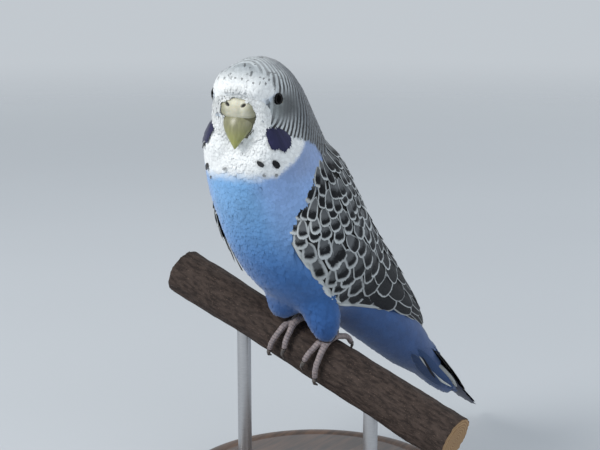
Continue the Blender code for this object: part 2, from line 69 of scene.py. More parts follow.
rng = np.random.default_rng(7)


# Numbers

def smooth_share(value, start, end):
    """0 before start, 1 after end, and a smooth step between."""
    t = np.clip((value - start) / (end - start), 0, 1)
    return t * t * (3 - 2 * t)


def unit(vectors):
    return vectors / np.maximum(np.linalg.norm(vectors, axis=-1, keepdims=True), 1e-12)


def tangent(ways, normals):
    """Unit vectors along a surface, nearest to given ones."""
    return unit(ways - normals * (ways * normals).sum(-1, keepdims=True))


def blend(first, second, share):
    share = np.asarray(share)[..., None]
    return np.asarray(first) * (1 - share) + np.asarray(second) * share


def eased(values, times, axis=0):
    """Samples smoothed along an axis, with their ends kept."""
    values = np.swapaxes(values, 0, axis).copy()
    for _ in range(times):
        values[1:-1] = (values[:-2] + 2 * values[1:-1] + values[2:]) / 4
    return np.ascontiguousarray(np.swapaxes(values, 0, axis))


def eased_rows(path, normal, path_times, normal_times):
    """Smoothed paths and unit normals of feathers."""
    return eased(path, path_times, 1), unit(eased(normal, normal_times, 1))


def running_length(rows):
    """How far along a line of places each place lies."""
    return np.concatenate([[0], np.cumsum(np.linalg.norm(np.diff(rows, axis=0), axis=1))])


def sampled(where, known, rows):
    """Rows of values between known rows."""
    return np.stack([np.interp(where, known, column) for column in rows.T], 1)


def hash_noise(points, size, seed=0):
    """Smooth noise from 0 to 1 at an array of places, with blobs about size across."""
    q = points / size + seed * 17.3
    cell = np.floor(q).astype(np.int64)
    t = q - cell
    t = t * t * (3 - 2 * t)
    total = np.zeros(points.shape[:-1])
    for corner in range(8):
        step = np.array([corner & 1, corner >> 1 & 1, corner >> 2 & 1])
        c = cell + step
        h = (c[..., 0] * 73856093 ^ c[..., 1] * 19349663 ^ c[..., 2] * 83492791) & 0xFFFFFF
        value = (h * 2654435761 & 0xFFFFFF) / 0xFFFFFF
        total += value * np.prod(np.where(step == 1, t, 1 - t), -1)
    return total


# Places

def bird_place(forward, above, side=0.0):
    """World place of a point given in mm forward of, above and to the left of the grip."""
    return Vector((side, -(forward + GRIP_FORWARD), GRIP_HEIGHT + above)) * MM


def world_rows(rows):
    """World places, before the head's turn, of rows of forward, above, side in mm."""
    return np.stack([rows[..., 2], -(rows[..., 0] + GRIP_FORWARD), rows[..., 1] + GRIP_HEIGHT], -1) * MM


def bird_mm(points):
    """Columns forward, above, side in mm for an array of world places."""
    columns = [-points[..., 1] / MM - GRIP_FORWARD, points[..., 2] / MM - GRIP_HEIGHT, points[..., 0] / MM]
    return np.stack(columns, -1)


def head_matrix():
    pivot = Matrix.Translation(bird_place(*HEAD_PIVOT))
    turn = Matrix.Rotation(HEAD_TURN, 4, "Z") @ Matrix.Rotation(HEAD_ROLL, 4, "Y")
    return Matrix.Translation((HEAD_ASIDE * MM, 0, 0)) @ pivot @ turn @ pivot.inverted()


HEAD = head_matrix()


def head_place(forward, above, side=0.0):
    """World place of a point given on the head before its turn."""
    return np.array(HEAD @ bird_place(forward, above, side))


def head_way(x, y, z):
    """World direction of a direction given on the head before its turn."""
    return np.array(HEAD.to_3x3() @ Vector((x, y, z)))


def moved(points, matrix):
    """An array of places moved by a 4x4 matrix."""
    m = np.array(matrix)
    return points @ m[:3, :3].T + m[:3, 3]


def head_mm(points):
    """Columns forward, above, side in mm on the head before its turn."""
    return bird_mm(moved(points, HEAD.inverted()))


def on_head(rows):
    """World places of rows of forward, above, side in mm on the head."""
    return moved(world_rows(rows), HEAD)


def straight_mm(points):
    """Forward, above, side in mm as if the head looked straight ahead."""
    body, head = bird_mm(points), head_mm(points)
    share = smooth_share(body[..., 1:2], *NECK_SPAN)
    return body * (1 - share) + head * share


def spine_points():
    """The spine as closely spaced world places, with the head's turn."""
    rows = np.array(SPINE)
    steps = running_length(rows)
    flat = eased(sampled(np.arange(0, steps[-1], SPINE_STEP), steps, rows), 12)
    world = np.array([bird_place(f, h) for f, h in flat])
    share = smooth_share(flat[:, 1:2], *NECK_SPAN)
    return world * (1 - share) + moved(world, HEAD) * share


SPINE_AT = spine_points()
SPINE_AHEAD = unit(np.gradient(SPINE_AT, axis=0))
SPINE_BLOCK = 20000  # places compared with the spine at once


def round_spine(points):
    """For world places: mm along the spine, radians from the belly to the left, and spine index."""
    nearest = np.empty(len(points), int)
    for start in range(0, len(points), SPINE_BLOCK):
        part = points[start:start + SPINE_BLOCK]
        nearest[start:start + SPINE_BLOCK] = ((part[:, None] - SPINE_AT[None]) ** 2).sum(-1).argmin(1)
    out = points - SPINE_AT[nearest]
    belly, left = spine_frame(nearest)
    angle = np.arctan2((out * left).sum(-1), (out * belly).sum(-1))
    return nearest * SPINE_STEP, angle, nearest


def spine_frame(index):
    """Belly-side and left-side unit vectors across the spine at its points."""
    ahead = SPINE_AHEAD[index]
    belly = unit(np.cross(ahead, np.tile(np.array([1.0, 0, 0]), (len(ahead), 1))))
    return belly, unit(np.cross(belly, ahead))


# Meshes

def mesh_object(name, data, look, slot, *replaced):
    """A finished piece that rides on the model's one body and may replace CAD nodes."""
    made = bpy.data.objects.new(name, data)
    bpy.context.scene.collection.objects.link(made)
    data.materials.clear()
    data.materials.append(look)
    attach(made, "root")
    if replaced:
        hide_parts(*replaced)
    return made


def values_of(items, key, width=3, kind=float):
    """A property of many items as an array."""
    values = np.empty(len(items) * width, kind)
    items.foreach_get(key, values)
    return values.reshape(-1, width) if width > 1 else values


def triangles_of(data):
    data.calc_loop_triangles()
    return values_of(data.loop_triangles, "vertices", kind=int)


def mesh_arrays(data):
    """Places and normals of a mesh's vertices."""
    return values_of(data.vertices, "co"), values_of(data.vertices, "normal")


def node_arrays(name):
    """Vertices and triangles of a CAD node."""
    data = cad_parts[name].data
    return values_of(data.vertices, "co"), triangles_of(data)


def set_places(data, at):
    data.vertices.foreach_set("co", at.astype(np.float32).ravel())
    data.update()


def array_mesh(name, co, tri):
    """A mesh from arrays of vertices and triangles."""
    data = bpy.data.meshes.new(name)
    data.vertices.add(len(co))
    data.vertices.foreach_set("co", np.asarray(co, np.float32).ravel())
    data.loops.add(len(tri) * 3)
    data.loops.foreach_set("vertex_index", np.asarray(tri, np.int32).ravel())
    data.polygons.add(len(tri))
    data.polygons.foreach_set("loop_start", np.arange(0, len(tri) * 3, 3, dtype=np.int32))
    data.polygons.foreach_set("use_smooth", np.ones(len(tri), bool))
    data.update(calc_edges=True)
    return data


def joined(parts):
    """Vertices, triangles and owner of each triangle for several meshes given as arrays."""
    cos, tris, owners, count = [], [], [], 0
    for k, (co, tri) in enumerate(parts):
        cos.append(co)
        tris.append(tri + count)
        owners.append(np.full(len(tri), k))
        count += len(co)
    return np.concatenate(cos), np.concatenate(tris), np.concatenate(owners)


def ring_faces(rings, sides, closed=False):
    """Triangles between rings of points, and from the last ring to the first when closed."""
    faces = []
    for i in range(rings if closed else rings - 1):
        for k in range(sides):
            a, b = i * sides + k, i * sides + (k + 1) % sides
            c, d = (b + sides) % (rings * sides), (a + sides) % (rings * sides)
            faces += [(a, b, c), (a, c, d)]
    return faces


def turned_out(co, tri):
    """Triangles of a closed mesh with their outsides outward."""
    a, b, c = (co[tri[:, k]] - co.mean(0) for k in range(3))
    return tri if (np.cross(a, b) * c).sum() > 0 else tri[:, ::-1]


def remeshed(name, co, tri, voxel, smooth, swell=0.0):
    """A closed mesh of even small faces round closed meshes, smoothed. Sizes are in mm."""
    data = array_mesh(name + "_raw", co, tri)
    if swell:
        at, normal = mesh_arrays(data)
        set_places(data, at + normal * swell * MM)
    helper = bpy.data.objects.new(name + "_raw", data)
    bpy.context.scene.collection.objects.link(helper)
    remesh = helper.modifiers.new("remesh", "REMESH")
    remesh.mode = "VOXEL"
    remesh.voxel_size = voxel * MM
    remesh.use_smooth_shade = True
    soft = helper.modifiers.new("smooth", "SMOOTH")
    soft.factor = 0.5
    soft.iterations = smooth
    made = bpy.data.meshes.new_from_object(helper.evaluated_get(bpy.context.evaluated_depsgraph_get()))
    made.name = name
    bpy.data.objects.remove(helper)
    return made


def set_attribute(data, name, values):
    """A vertex attribute: a colour when called tone or core, else a vector or a number."""
    values = np.asarray(values, np.float32)
    kind, field = ("FLOAT_VECTOR", "vector") if values.ndim > 1 else ("FLOAT", "value")
    if name in ("tone", "core"):
        kind, field = "FLOAT_COLOR", "color"
        values = np.concatenate([values, np.ones((len(values), 1), np.float32)], 1)
    data.attributes.new(name, kind, "POINT").data.foreach_set(field, values.ravel())


def set_uv(data, uv):
    data.uv_layers.new(name="OFBake").data.foreach_set("uv", uv.astype(np.float32).ravel())


def melted(data, values, share, times):
    """Places or other vectors of a mesh's vertices, smoothed along its edges where share is above 0."""
    ends = values_of(data.edges, "vertices", 2, int)
    first, second = ends.T
    size = len(values)
    count = np.bincount(ends.ravel(), minlength=size)[:, None]
    for _ in range(times):
        columns = []
        for column in values.T:
            there = np.bincount(first, column[second], size)
            columns.append(there + np.bincount(second, column[first], size))
        values = values + share[:, None] * 0.5 * (np.stack(columns, 1) / count - values)
    return values


class Surface:
    """Meshes that feathers are laid on, with a smooth normal for each face."""

    NORMAL_ROUNDS = 8

    def __init__(self, *pieces):
        verts, faces, normals = [], [], []
        for data in pieces:
            at, normal = mesh_arrays(data)
            normal = melted(data, normal, np.ones(len(at)), self.NORMAL_ROUNDS)
            first = len(verts)
            verts += [Vector(p) for p in at]
            for polygon in data.polygons:
                corners = list(polygon.vertices)
                faces.append([first + k for k in corners])
                normals.append(normal[corners].mean(0))
        self.normals = unit(np.array(normals))
        self.tree = BVHTree.FromPolygons(verts, faces)

    def nearest(self, point):
        place, _, index, _ = self.tree.find_nearest(Vector(point))
        return place, self.normals[index]

    def struck(self, start, way):
        """Where a ray meets the surface, or None."""
        place, _, index, _ = self.tree.ray_cast(Vector(start), Vector(way))
        return None if place is None else (place, self.normals[index])


def nearest_on(surface, points):
    """Nearest places on a surface and its normals there."""
    place, normal = np.empty_like(points), np.empty_like(points)
    for i, p in enumerate(points):
        place[i], normal[i] = surface.nearest(p)
    return place, normal


# Materials

class Value:
    """A node's output in a look. Arithmetic on it adds nodes."""

    def __init__(self, look, socket):
        self.look, self.socket = look, socket

    def math(self, operation, *others):
        return self.look.node("ShaderNodeMath", dict(enumerate((self, *others))), operation=operation)

    def __add__(self, other):
        return self.math("ADD", other)

    def __sub__(self, other):
        return self.math("SUBTRACT", other)

    def __mul__(self, other):
        return self.math("MULTIPLY", other)

    def __truediv__(self, other):
        return self.math("DIVIDE", other)

    def ramp(self, low, high, to_low=0.0, to_high=1.0):
        """A smooth step from low to high."""
        inputs = {"Value": self, "From Min": low, "From Max": high, "To Min": to_low, "To Max": to_high}
        return self.look.node("ShaderNodeMapRange", inputs, interpolation_type="SMOOTHSTEP")


class Look:
    """A material being put together from nodes."""

    def __init__(self, name, roughness, specular=0.5, **inputs):
        self.made = bpy.data.materials.new(name)
        self.made.use_nodes = True
        self.tree = self.made.node_tree
        self.shader = self.tree.nodes["Principled BSDF"]
        inputs.update(roughness=roughness, specular_ior_level=specular)
        for socket in self.shader.inputs:
            key = socket.name.lower().replace(" ", "_")
            if key in inputs:
                socket.default_value = inputs[key]

    def node(self, kind, inputs=None, output=0, **settings):
        """One output, or several, of a new node whose inputs are numbers or other outputs."""
        made = self.tree.nodes.new(kind)
        for key, value in settings.items():
            setattr(made, key, value)
        for key, value in (inputs or {}).items():
            if isinstance(value, Value):
                self.tree.links.new(value.socket, made.inputs[key])
            else:
                made.inputs[key].default_value = value
        if isinstance(output, tuple):
            return [Value(self, made.outputs[k]) for k in output]
        return Value(self, made.outputs[output])

    def attribute(self, name, output="Fac"):
        return self.node("ShaderNodeAttribute", output=output, attribute_name=name)

    def parts(self, name):
        """The three numbers of a vector attribute."""
        return self.node("ShaderNodeSeparateXYZ", {0: self.attribute(name, "Vector")}, (0, 1, 2))

    def noise(self, size, detail=2.0, place=None, stretch=None):
        """Noise from 0 to 1 with blobs about size metres across."""
        place = place or self.node("ShaderNodeTexCoord", output="Object")
        if stretch:
            place = self.node("ShaderNodeMapping", {"Vector": place, "Scale": stretch})
        return self.node("ShaderNodeTexNoise", {"Vector": place, "Scale": 1 / size, "Detail": detail})

    def mix(self, share, first, second, blend_type="MIX"):
        """A colour between two."""
        inputs = {0: share}
        for key, colour in ((6, first), (7, second)):
            inputs[key] = colour if isinstance(colour, Value) else (*colour, 1.0)
        return self.node("ShaderNodeMix", inputs, 2, data_type="RGBA", blend_type=blend_type)

    def bump(self, height, strength, distance):
        made = self.node("ShaderNodeBump", {"Height": height, "Strength": strength, "Distance": distance})
        self.tree.links.new(made.socket, self.shader.inputs["Normal"])

    def colour(self, colour):
        self.tree.links.new(colour.socket, self.shader.inputs["Base Color"])


BARB_SLANT = 0.9
BAR_BLACK = (0.012, 0.012, 0.014)
CORE_ROOT = (0.16, 0.17, 0.18)


def slanted(across, along):
    """Mm along a feather, counted along its slanting barbs."""
    return along - across.math("ABSOLUTE") * BARB_SLANT


def barb_height(across, along, pitch=0.17):
    """Fine ridges of the barbs."""
    return (slanted(across, along) * (2 * math.pi / pitch)).math("SINE")


def barb_streaks(look, across, along, own):
    """Noise from 0 to 1 drawn out along the barbs, different on each feather."""
    place = {0: across * 0.5, 1: slanted(across, along) * 4.5, 2: own * 60.0}
    return look.noise(1.0, 3.0, look.node("ShaderNodeCombineXYZ", place))


def feather_colour(look, colour, own, way, spread=0.09, root=0.86):
    """A colour times a feather's own brightness, darker at its root as painted shade where the feathers
    overlap.
    """
    share = own.ramp(0.0, 1.0, 1 - spread, 1 + spread * 0.6) * way.ramp(0.1, 0.75, root, 1.0)
    grey = look.node("ShaderNodeCombineColor", {0: share, 1: share, 2: share})
    return look.mix(1.0, colour, grey, "MULTIPLY")


def plumage_look():
    """Small feathers: their own tone, crossed by dark bars where the bars attribute says so."""
    look = Look("plumage", 0.62, 0.25, sheen_weight=0.25, sheen_roughness=0.45)
    phase, amount, way = look.parts("bars")
    across, along, own = look.parts("vane")
    wave = ((phase + look.noise(0.003, 1.0) * 0.5) * (2 * math.pi)).math("SINE")
    dark = wave.ramp(-0.25, 0.2) * amount
    colour = look.mix(dark, look.attribute("tone", "Color"), BAR_BLACK)
    # feathers darken towards their roots: painted shade where they overlap
    look.colour(feather_colour(look, colour, own, way))
    look.bump(barb_height(across, along), 0.2, 0.00003)
    return look.made


def margined_look():
    """Large feathers: a dark middle, a pale margin and sometimes a pale root. The margin attribute
    holds mm to the side, mm to the tip and the margin's width; tone the margin's colour, core the
    middle's; and the bars attribute how pale the root is."""
    look = Look("margined_feathers", 0.5, 0.12, sheen_weight=0.03, sheen_roughness=0.4)
    across, along, own = look.parts("vane")
    side, tip, rim = look.parts("margin")
    rooted, _, way = look.parts("bars")
    streaks = barb_streaks(look, across, along, own) - 0.5
    uneven = streaks * 1.3 + (look.noise(0.0016, 2.0) - 0.5) * 0.8
    near = (side * 2.2).math("SMOOTH_MIN", tip, 0.6)
    pale = (near / rim + uneven * 0.8).ramp(0.65, 1.45, 1.0, 0.0)
    root = (way + uneven * 0.25).ramp(0.42, 0.66, 1.0, 0.0) * rooted
    core = look.mix(root, look.attribute("core", "Color"), CORE_ROOT)
    colour = look.mix(pale, core, look.attribute("tone", "Color"))
    # feathers darken towards their roots: painted shade where they overlap
    look.colour(feather_colour(look, colour, own, way, 0.12, 0.85))
    look.bump(barb_height(across, along, 0.3), 0.3, 0.00005)
    return look.made


# The lie and the markings of the coat

EYE_PLACE = (34.4, 76.7)
EYE_SIDE = 8.2
BILL_ROOT = (36.5, 73.0)
BAR_CENTRE = (37.0, 74.0)
BAR_PITCH, BAR_GROWTH = 1.12, 0.017

WHITE = (0.86, 0.885, 0.89)
CROWN_GREY_AND_SHADE = (0.37, 0.41, 0.435)
EAR_GREY = (0.09, 0.10, 0.105)
EAR_PALE = (0.27, 0.30, 0.30)
BAR_WHITE = (0.54, 0.58, 0.60)
NAPE_GREY_AND_SHADE = (0.135, 0.155, 0.175)
SKY = (0.20, 0.43, 0.76)
SKY_VIOLET = (0.27, 0.43, 0.76)
# darker blues of the underparts: partly the bird's own colour, partly painted shade of the belly's underside
# and the vent
BELLY_BLUE_AND_SHADE = (0.045, 0.16, 0.43)
UNDERSIDE_BLUE_AND_SHADE = (0.028, 0.10, 0.30)
VENT_BLUE_AND_SHADE = (0.030, 0.078, 0.22)
VIOLET_SIDE = (0.24, 0.34, 0.58)

# Back edge of the white mask and front edge of the barred zone: forward in mm at each height
MASK_BACK = (
    (50.0, 52.5, 56.5, 59.5, 62.5, 64.5, 66.0, 67.5, 69.0, 71.0, 74.0, 77.0, 79.0, 81.0, 83.0, 86.0, 90.0),
    (50.0, 36.0, 32.0, 29.5, 27.0, 25.0, 30.0, 36.3, 38.0, 38.6, 38.8, 37.6, 34.6, 30.5, 25.0, 18.0, 8.0),
)
BARS_FRONT = (
    (46.0, 52.0, 56.0, 59.0, 62.0, 64.0, 65.5, 67.0),
    (4.0, 9.0, 12.0, 14.5, 18.0, 23.0, 30.0, 36.0),
)


def blue_tone(points, forward, above, side):
    """Blue underparts, darker towards the tail and below: partly the bird's own deeper blue, partly painted
    shade of the underside and under the tail.
    """
    light = smooth_share(above, 22, 51)
    tone = blend(VENT_BLUE_AND_SHADE, UNDERSIDE_BLUE_AND_SHADE, smooth_share(forward, -66, -22))
    tone = blend(tone, BELLY_BLUE_AND_SHADE, smooth_share(above, 2, 26))
    tone = blend(tone, SKY, light)
    tone = blend(tone, SKY_VIOLET, light * smooth_share(side, 5, 12))
    tone = blend(tone, VIOLET_SIDE, smooth_share(above, 50, 57) * smooth_share(side, 10, 15))
    return tone * (0.90 + 0.20 * hash_noise(points, 5 * MM, 1))[..., None]


def white_mask(forward, above, ragged):
    back = np.interp(above, *MASK_BACK)
    mask = smooth_share(forward + ragged - back, -1.4, 1.4) * smooth_share(above + ragged * 0.5, 52.6, 57.0)
    return mask * (forward > 10)


def barred_zone(forward, above, ragged, mask):
    front = np.interp(above, *BARS_FRONT)
    upper = smooth_share(above - 38 - 0.85 * forward, 0, 3) * smooth_share(-forward, 4, 8)
    low = smooth_share(front - forward - ragged * 0.6, -0.8, 1.6)
    low = low * np.maximum(smooth_share(above, 40, 46), upper)
    return np.maximum(low, (1 - mask) * smooth_share(above, 66.0, 68.5))


def bar_phase(forward, above, side):
    """Which bar places lie in: bars run round the bill's root and widen away from it."""
    rise = above - BAR_CENTRE[1]
    rise = np.where(rise > 0, rise * 0.5, rise)
    apart = np.sqrt((forward - BAR_CENTRE[0]) ** 2 + rise**2 + side**2)
    return (1 - np.exp(-BAR_GROWTH * (apart - 8))) / (BAR_GROWTH * BAR_PITCH)


def markings(points):
    """Tone, bar phase and bar amount of the plumage at world places."""
    place = straight_mm(points)
    forward, above, side = place[..., 0], place[..., 1], np.abs(place[..., 2])
    ragged = (hash_noise(points, 1.6 * MM, 3) - 0.5) * 2.4
    tone = blue_tone(points, forward, above, side)
    mask = white_mask(forward, above, ragged)
    # the crown turns grey upwards: partly its own flecked grey, partly painted shade on the top of the head
    crown_grey_and_shade = smooth_share(above - 0.25 * (forward - 34), 77.5, 85.0)
    tone = blend(tone, blend(WHITE, CROWN_GREY_AND_SHADE, crown_grey_and_shade), mask)
    barred = barred_zone(forward, above, ragged, mask)
    # the ground between bars darkens towards the nape: partly its own grey, partly painted shade on the back
    # of the head
    tone = blend(tone, blend(BAR_WHITE, NAPE_GREY_AND_SHADE, smooth_share(32 - forward, 0, 12)), barred)
    amount = barred * 0.97 * (1 - 0.55 * smooth_share(above, 79.5, 85))
    # smooth grey feathers over the ear, paler below the eye
    ear = 1 - smooth_share(np.hypot((forward - 30.5) / 7.6, (above - 74.4) / 4.2), 0.4, 1.4)
    ear = ear * smooth_share(side, 6, 9) * barred
    tone = blend(tone, blend(EAR_GREY, EAR_PALE, smooth_share(forward, 29, 37)), ear)
    amount = amount * (1 - 0.85 * ear)
    amount = np.maximum(amount, mask * smooth_share(above, 82.5, 86.5) * 0.3)
    return tone, bar_phase(forward, above, side), np.clip(amount, 0, 1)


def flecked(points, tone):
    """Feathers' tones with a few dark tips scattered over crown and forehead."""
    place = straight_mm(points)
    forward, above = place[:, 0], place[:, 1]
    zone = smooth_share(above, 79.0, 82.5) * (forward > np.interp(above, *MASK_BACK))
    chosen = rng.random(len(points)) < 0.09 * zone
    return np.where(chosen[:, None], tone * rng.uniform(0.25, 0.6, (len(points), 1)), tone)


def away_from(points, centre, near, far):
    """Unit vectors away from a centre, fading out between two distances in mm."""
    out = points - centre
    apart = np.linalg.norm(out, axis=-1)
    return unit(out), (1 - smooth_share(apart, near * MM, far * MM))[:, None]


def lie(points, normals):
    """The direction in which feathers point at places on the skin."""
    way = SPINE_AHEAD[round_spine(points)[2]].copy()
    out, share = away_from(points, head_place(*BILL_ROOT), 8, 20)
    way = way + out * (1.2 * share)
    for sign in (1, -1):
        out, share = away_from(points, head_place(*EYE_PLACE, sign * (EYE_SIDE + 2)), 1.5, 5)
        way = way + out * (1.3 * share)
    return tangent(way, normals)


# Vanes

UV_PATCH = 0.003  # size of each feather's patch on the OFBake map


class Template:
    """One feather of unit size: a closed thin lens whose tip splits into barbs. Its rows of vertices
    lie at shares of its length and have widths in shares of its own."""

    def __init__(self, rows, across, outline, spike_in=0.86, tip_width=0.3):
        self.vertices, faces = [], []
        columns = np.linspace(-1, 1, across)
        root = self.vertex(0.0, 0.0, 0.0)
        last_top = last_low = None
        for v, width in zip(rows, outline):
            top = [self.vertex(u * width, v, 1 - u * u) for u in columns]
            low = [self.vertex(u * width, v, -(1 - u * u)) for u in columns[1:-1]]
            low = [top[0]] + low + [top[-1]]
            for k in range(across - 1):
                if last_top is None:
                    faces += [(root, top[k + 1], top[k]), (root, low[k], low[k + 1])]
                    continue
                a, b, c, d = last_top[k], last_top[k + 1], top[k + 1], top[k]
                faces += [(a, b, c), (a, c, d)]
                a, b, c, d = last_low[k], last_low[k + 1], low[k + 1], low[k]
                faces += [(a, c, b), (a, d, c)]
            last_top, last_low = top, low
        faces += self.tip_faces(columns, outline[-1], spike_in, last_top, last_low)
        self.across_at, self.along, self.height, self.tip = np.array(self.vertices).T
        self.faces = np.array(faces)
        self.width_at = np.interp(self.along, (0, *rows, 1.0), (0.1, *outline, tip_width))

    def vertex(self, u, v, z, tip=0.0):
        self.vertices.append((u, v, z, tip))
        return len(self.vertices) - 1

    def tip_faces(self, columns, width, spike_in, top, low):
        """Barbs between the last row's vertices."""
        peaks, faces = [], []
        for k in range(len(columns) - 1):
            u = (columns[k] + columns[k + 1]) / 2 * width * spike_in
            peaks.append(self.vertex(u, 1.0 - 0.10 * (u / width) ** 2, 0.0, 1.0))
            faces += [(top[k], top[k + 1], peaks[k]), (low[k + 1], low[k], peaks[k])]
        for k in range(1, len(columns) - 1):
            faces += [(low[k], top[k], peaks[k]), (top[k], low[k], peaks[k - 1])]
        return faces


TINY = Template((0.45, 0.86), 3, (1.0, 0.75))
SMALL = Template((0.4, 0.76, 0.93), 4, (0.85, 1.0, 0.62))
SPOT = Template((0.12, 0.35, 0.65, 0.88), 5, (0.6, 0.95, 1.0, 0.66))
LARGE = Template((0.12, 0.3, 0.55, 0.75, 0.87, 0.95), 5, (0.5, 0.8, 0.97, 1.0, 0.86, 0.6), 0.8)
LONG = Template(
    (0.06, 0.2, 0.4, 0.6, 0.75, 0.86, 0.93, 0.975), 5,
    (0.45, 0.8, 1.0, 1.0, 0.92, 0.75, 0.55, 0.32), 0.7, 0.15)


def row_weights(along, samples):
    """Linear weights that place each template vertex between the sampled rows of a feather's path."""
    where = np.clip(along, 0, 1) * (samples - 1)
    low = np.minimum(where.astype(int), samples - 2)
    share = where - low
    weights = np.zeros((len(along), samples))
    weights[np.arange(len(along)), low] = 1 - share
    weights[np.arange(len(along)), low + 1] += share
    return weights


def make_vanes(template, path, normal, width, lift, thick, fray=0.08, camber=0.12, tilted=0.16):
    """Vertices, soft normals and per-vertex mm across and along for feathers along sampled paths.
    path and normal are (feathers, samples, 3) and lift is (feathers, samples).
    Width is in metres, thick in mm."""
    count, samples = path.shape[:2]
    path = path + normal * lift[..., None]
    ahead = unit(np.gradient(path, axis=1))
    side = unit(np.cross(ahead, normal))
    weights = row_weights(template.along, samples)
    at, side_at, up, forward = (
        np.einsum("kr,nrc->nkc", weights, rows) for rows in (path, side, normal, ahead))
    up = unit(up)
    length = np.linalg.norm(np.diff(path, axis=1), axis=-1).sum(1)
    half = width[:, None] / 2
    u = template.across_at[None] * half
    at = at + side_at * u[..., None]
    bulge = (1 - np.abs(template.across_at[None])) * half * camber + template.height[None] * (thick * MM)
    at = at + up * bulge[..., None]
    jitter = rng.uniform(-1, 1, (count, len(template.along))) * template.tip[None] * fray
    at = at + forward * (jitter * length[:, None])[..., None]
    soft = unit(up + side_at * (template.across_at[None] * tilted)[..., None])
    return at, soft, u / MM, template.along[None] * length[:, None] / MM


def vane_attribute(across, along):
    """Mm across and along a feather, and a random share of its own."""
    own = np.repeat(rng.random((len(along), 1)), along.shape[1], 1)
    return np.stack([across, along, own], -1)


def bars_attribute(template, phase, amount):
    """Bar phase and amount, and the share of the way along the feather."""
    return np.stack(np.broadcast_arrays(phase, amount, template.along[None]), -1)


def unwrap(along, angle, low, high):
    """Place of skin points on its unwrap, for a stretch of the spine."""
    return np.stack([angle / (2 * math.pi) * 0.98 + 0.5, 0.01 + 0.97 * (along - low) / (high - low)], -1)


def feather_piece(name, template, look, slot, stretch, root, at, soft, **attributes):
    """One piece of many feathers. Each has its patch of the OFBake map at its root's place on the unwrap."""
    count, size = at.shape[:2]
    faces = (template.faces[None] + (np.arange(count) * size)[:, None, None]).reshape(-1, 3)
    data = array_mesh(name, at.reshape(-1, 3), faces)
    for key, values in attributes.items():
        set_attribute(data, key, values.reshape(-1, 3))
    patch = np.stack([template.across_at * 0.5, template.along], 1) * UV_PATCH
    uv = unwrap(*round_spine(root)[:2], *stretch)[:, None] + patch[None]
    set_uv(data, uv.reshape(-1, 2)[faces.ravel()])
    data.normals_split_custom_set_from_vertices(soft.reshape(-1, 3).astype(np.float32))
    return mesh_object(name, data, look, slot)


# Skin

SKIN_GAP = 0.2  # mm between the skin and the feathers' roots, and how much the skin is swollen before
THIGH_ROUNDS = 60  # of smoothing where the thighs meet the belly
TAIL_DEPTH = ((-108.8, -100.0, -90.0, -72.0, -54.0), (0.25, 0.45, 0.75, 1.1, 1.2))
# How far the loose feathers of head and throat stand out from the CAD head at each height, in mm
LOOSE = (
    (40.0, 46.0, 51.5, 57.0, 62.5, 66.5, 70.0, 73.0, 76.0, 79.5, 82.0, 84.5),
    (0.0, 0.5, 0.9, 1.0, 0.8, -0.4, -1.5, -1.7, -1.1, 0.2, 0.6, 0.0),
)
BROW_HEIGHT, BROW_OUT = 79.5, 1.5
MANTLE_START, MANTLE_END = 50, 116  # mm along the spine
WING_SKIN = (0.03, 0.03, 0.03)
RUMP_SKIN = (0.02, 0.035, 0.10)
FACE_SKIN = (0.13, 0.125, 0.07)
TAIL_SKIN = (0.01, 0.015, 0.05)


def owned(owner, *names):
    """Which places belong to flesh nodes of these names."""
    return np.isin(owner, [FLESH.index(name) for name in names])


def from_bill(points):
    return np.linalg.norm(points - head_place(*BILL_ROOT), axis=-1) / MM


def coat_depth(points, owner):
    """How far the skin lies inside the coat's tips, in metres."""
    place = straight_mm(points)
    above, forward = place[:, 1], place[:, 0]
    depth = 0.5 + 0.5 * smooth_share(-above, -62, -40)
    depth = np.where((forward > 16) & (above > 58), np.minimum(depth, 0.55), depth)
    depth = np.minimum(depth, np.interp(from_bill(points), (6, 16), (0.42, 1.4)))
    depth = np.where(owned(owner, "tail"), np.interp(forward, *TAIL_DEPTH), depth)
    return np.where(owned(owner, "wing_left", "wing_right"), 0.9, depth) * MM


def loosened(points, normals, bare):
    """Skin places moved for the puffed forehead and throat and the narrower face between them."""
    place = straight_mm(points)
    forward, above, side = place[:, 0], place[:, 1], np.abs(place[:, 2])
    wide = np.maximum(smooth_share(side, 3.0, 7.5), smooth_share(62 - above, 0, 6))
    share = wide * smooth_share(forward, 20, 29) * ~bare
    share = share * smooth_share(from_bill(points), 6.5, 10.5)
    move = np.interp(above, *LOOSE) * share
    brow = np.exp(-((above - BROW_HEIGHT) / 2.6) ** 2) * smooth_share(forward, 34, 38)
    brow = brow * (1 - smooth_share(side, 4, 8.5)) * ~bare
    ahead = head_way(0, -0.92, -0.38)
    return points + normals * (move * MM)[:, None] + ahead * (brow * BROW_OUT * MM)[:, None]


def owners_of(points, normals, flesh, owners):
    """Which flesh node lies outermost over each skin place."""
    found = np.empty(len(points), int)
    for i, (p, n) in enumerate(zip(points, normals)):
        index = flesh.ray_cast(Vector(p + n * 6 * MM), Vector(-n))[2]
        if index is None:
            index = flesh.find_nearest(Vector(p))[2]
        found[i] = owners[index]
    return found


def skin_attributes(data, at, owner, along, angle):
    """The coat's markings on the skin, with dark skin under wings, mantle and tail."""
    tone, phase, amount = markings(at)
    wing = owned(owner, "wing_left", "wing_right")
    back = (along > MANTLE_START) & (np.abs(angle) > math.radians(138))
    for places, colour in (
        (wing | back & (along < MANTLE_END), WING_SKIN), (back & (along >= MANTLE_END), RUMP_SKIN),
        (owner >= len(FLESH), FACE_SKIN), (owned(owner, "tail"), TAIL_SKIN),
    ):
        tone = np.where(places[:, None], colour, tone)
    amount = np.where(wing | back, 0, amount)
    set_attribute(data, "tone", tone)
    set_attribute(data, "bars", np.stack([phase, amount, np.full(len(at), 0.5)], 1))
    set_attribute(data, "vane", np.tile([0.0, 0.0, 0.5], (len(at), 1)))


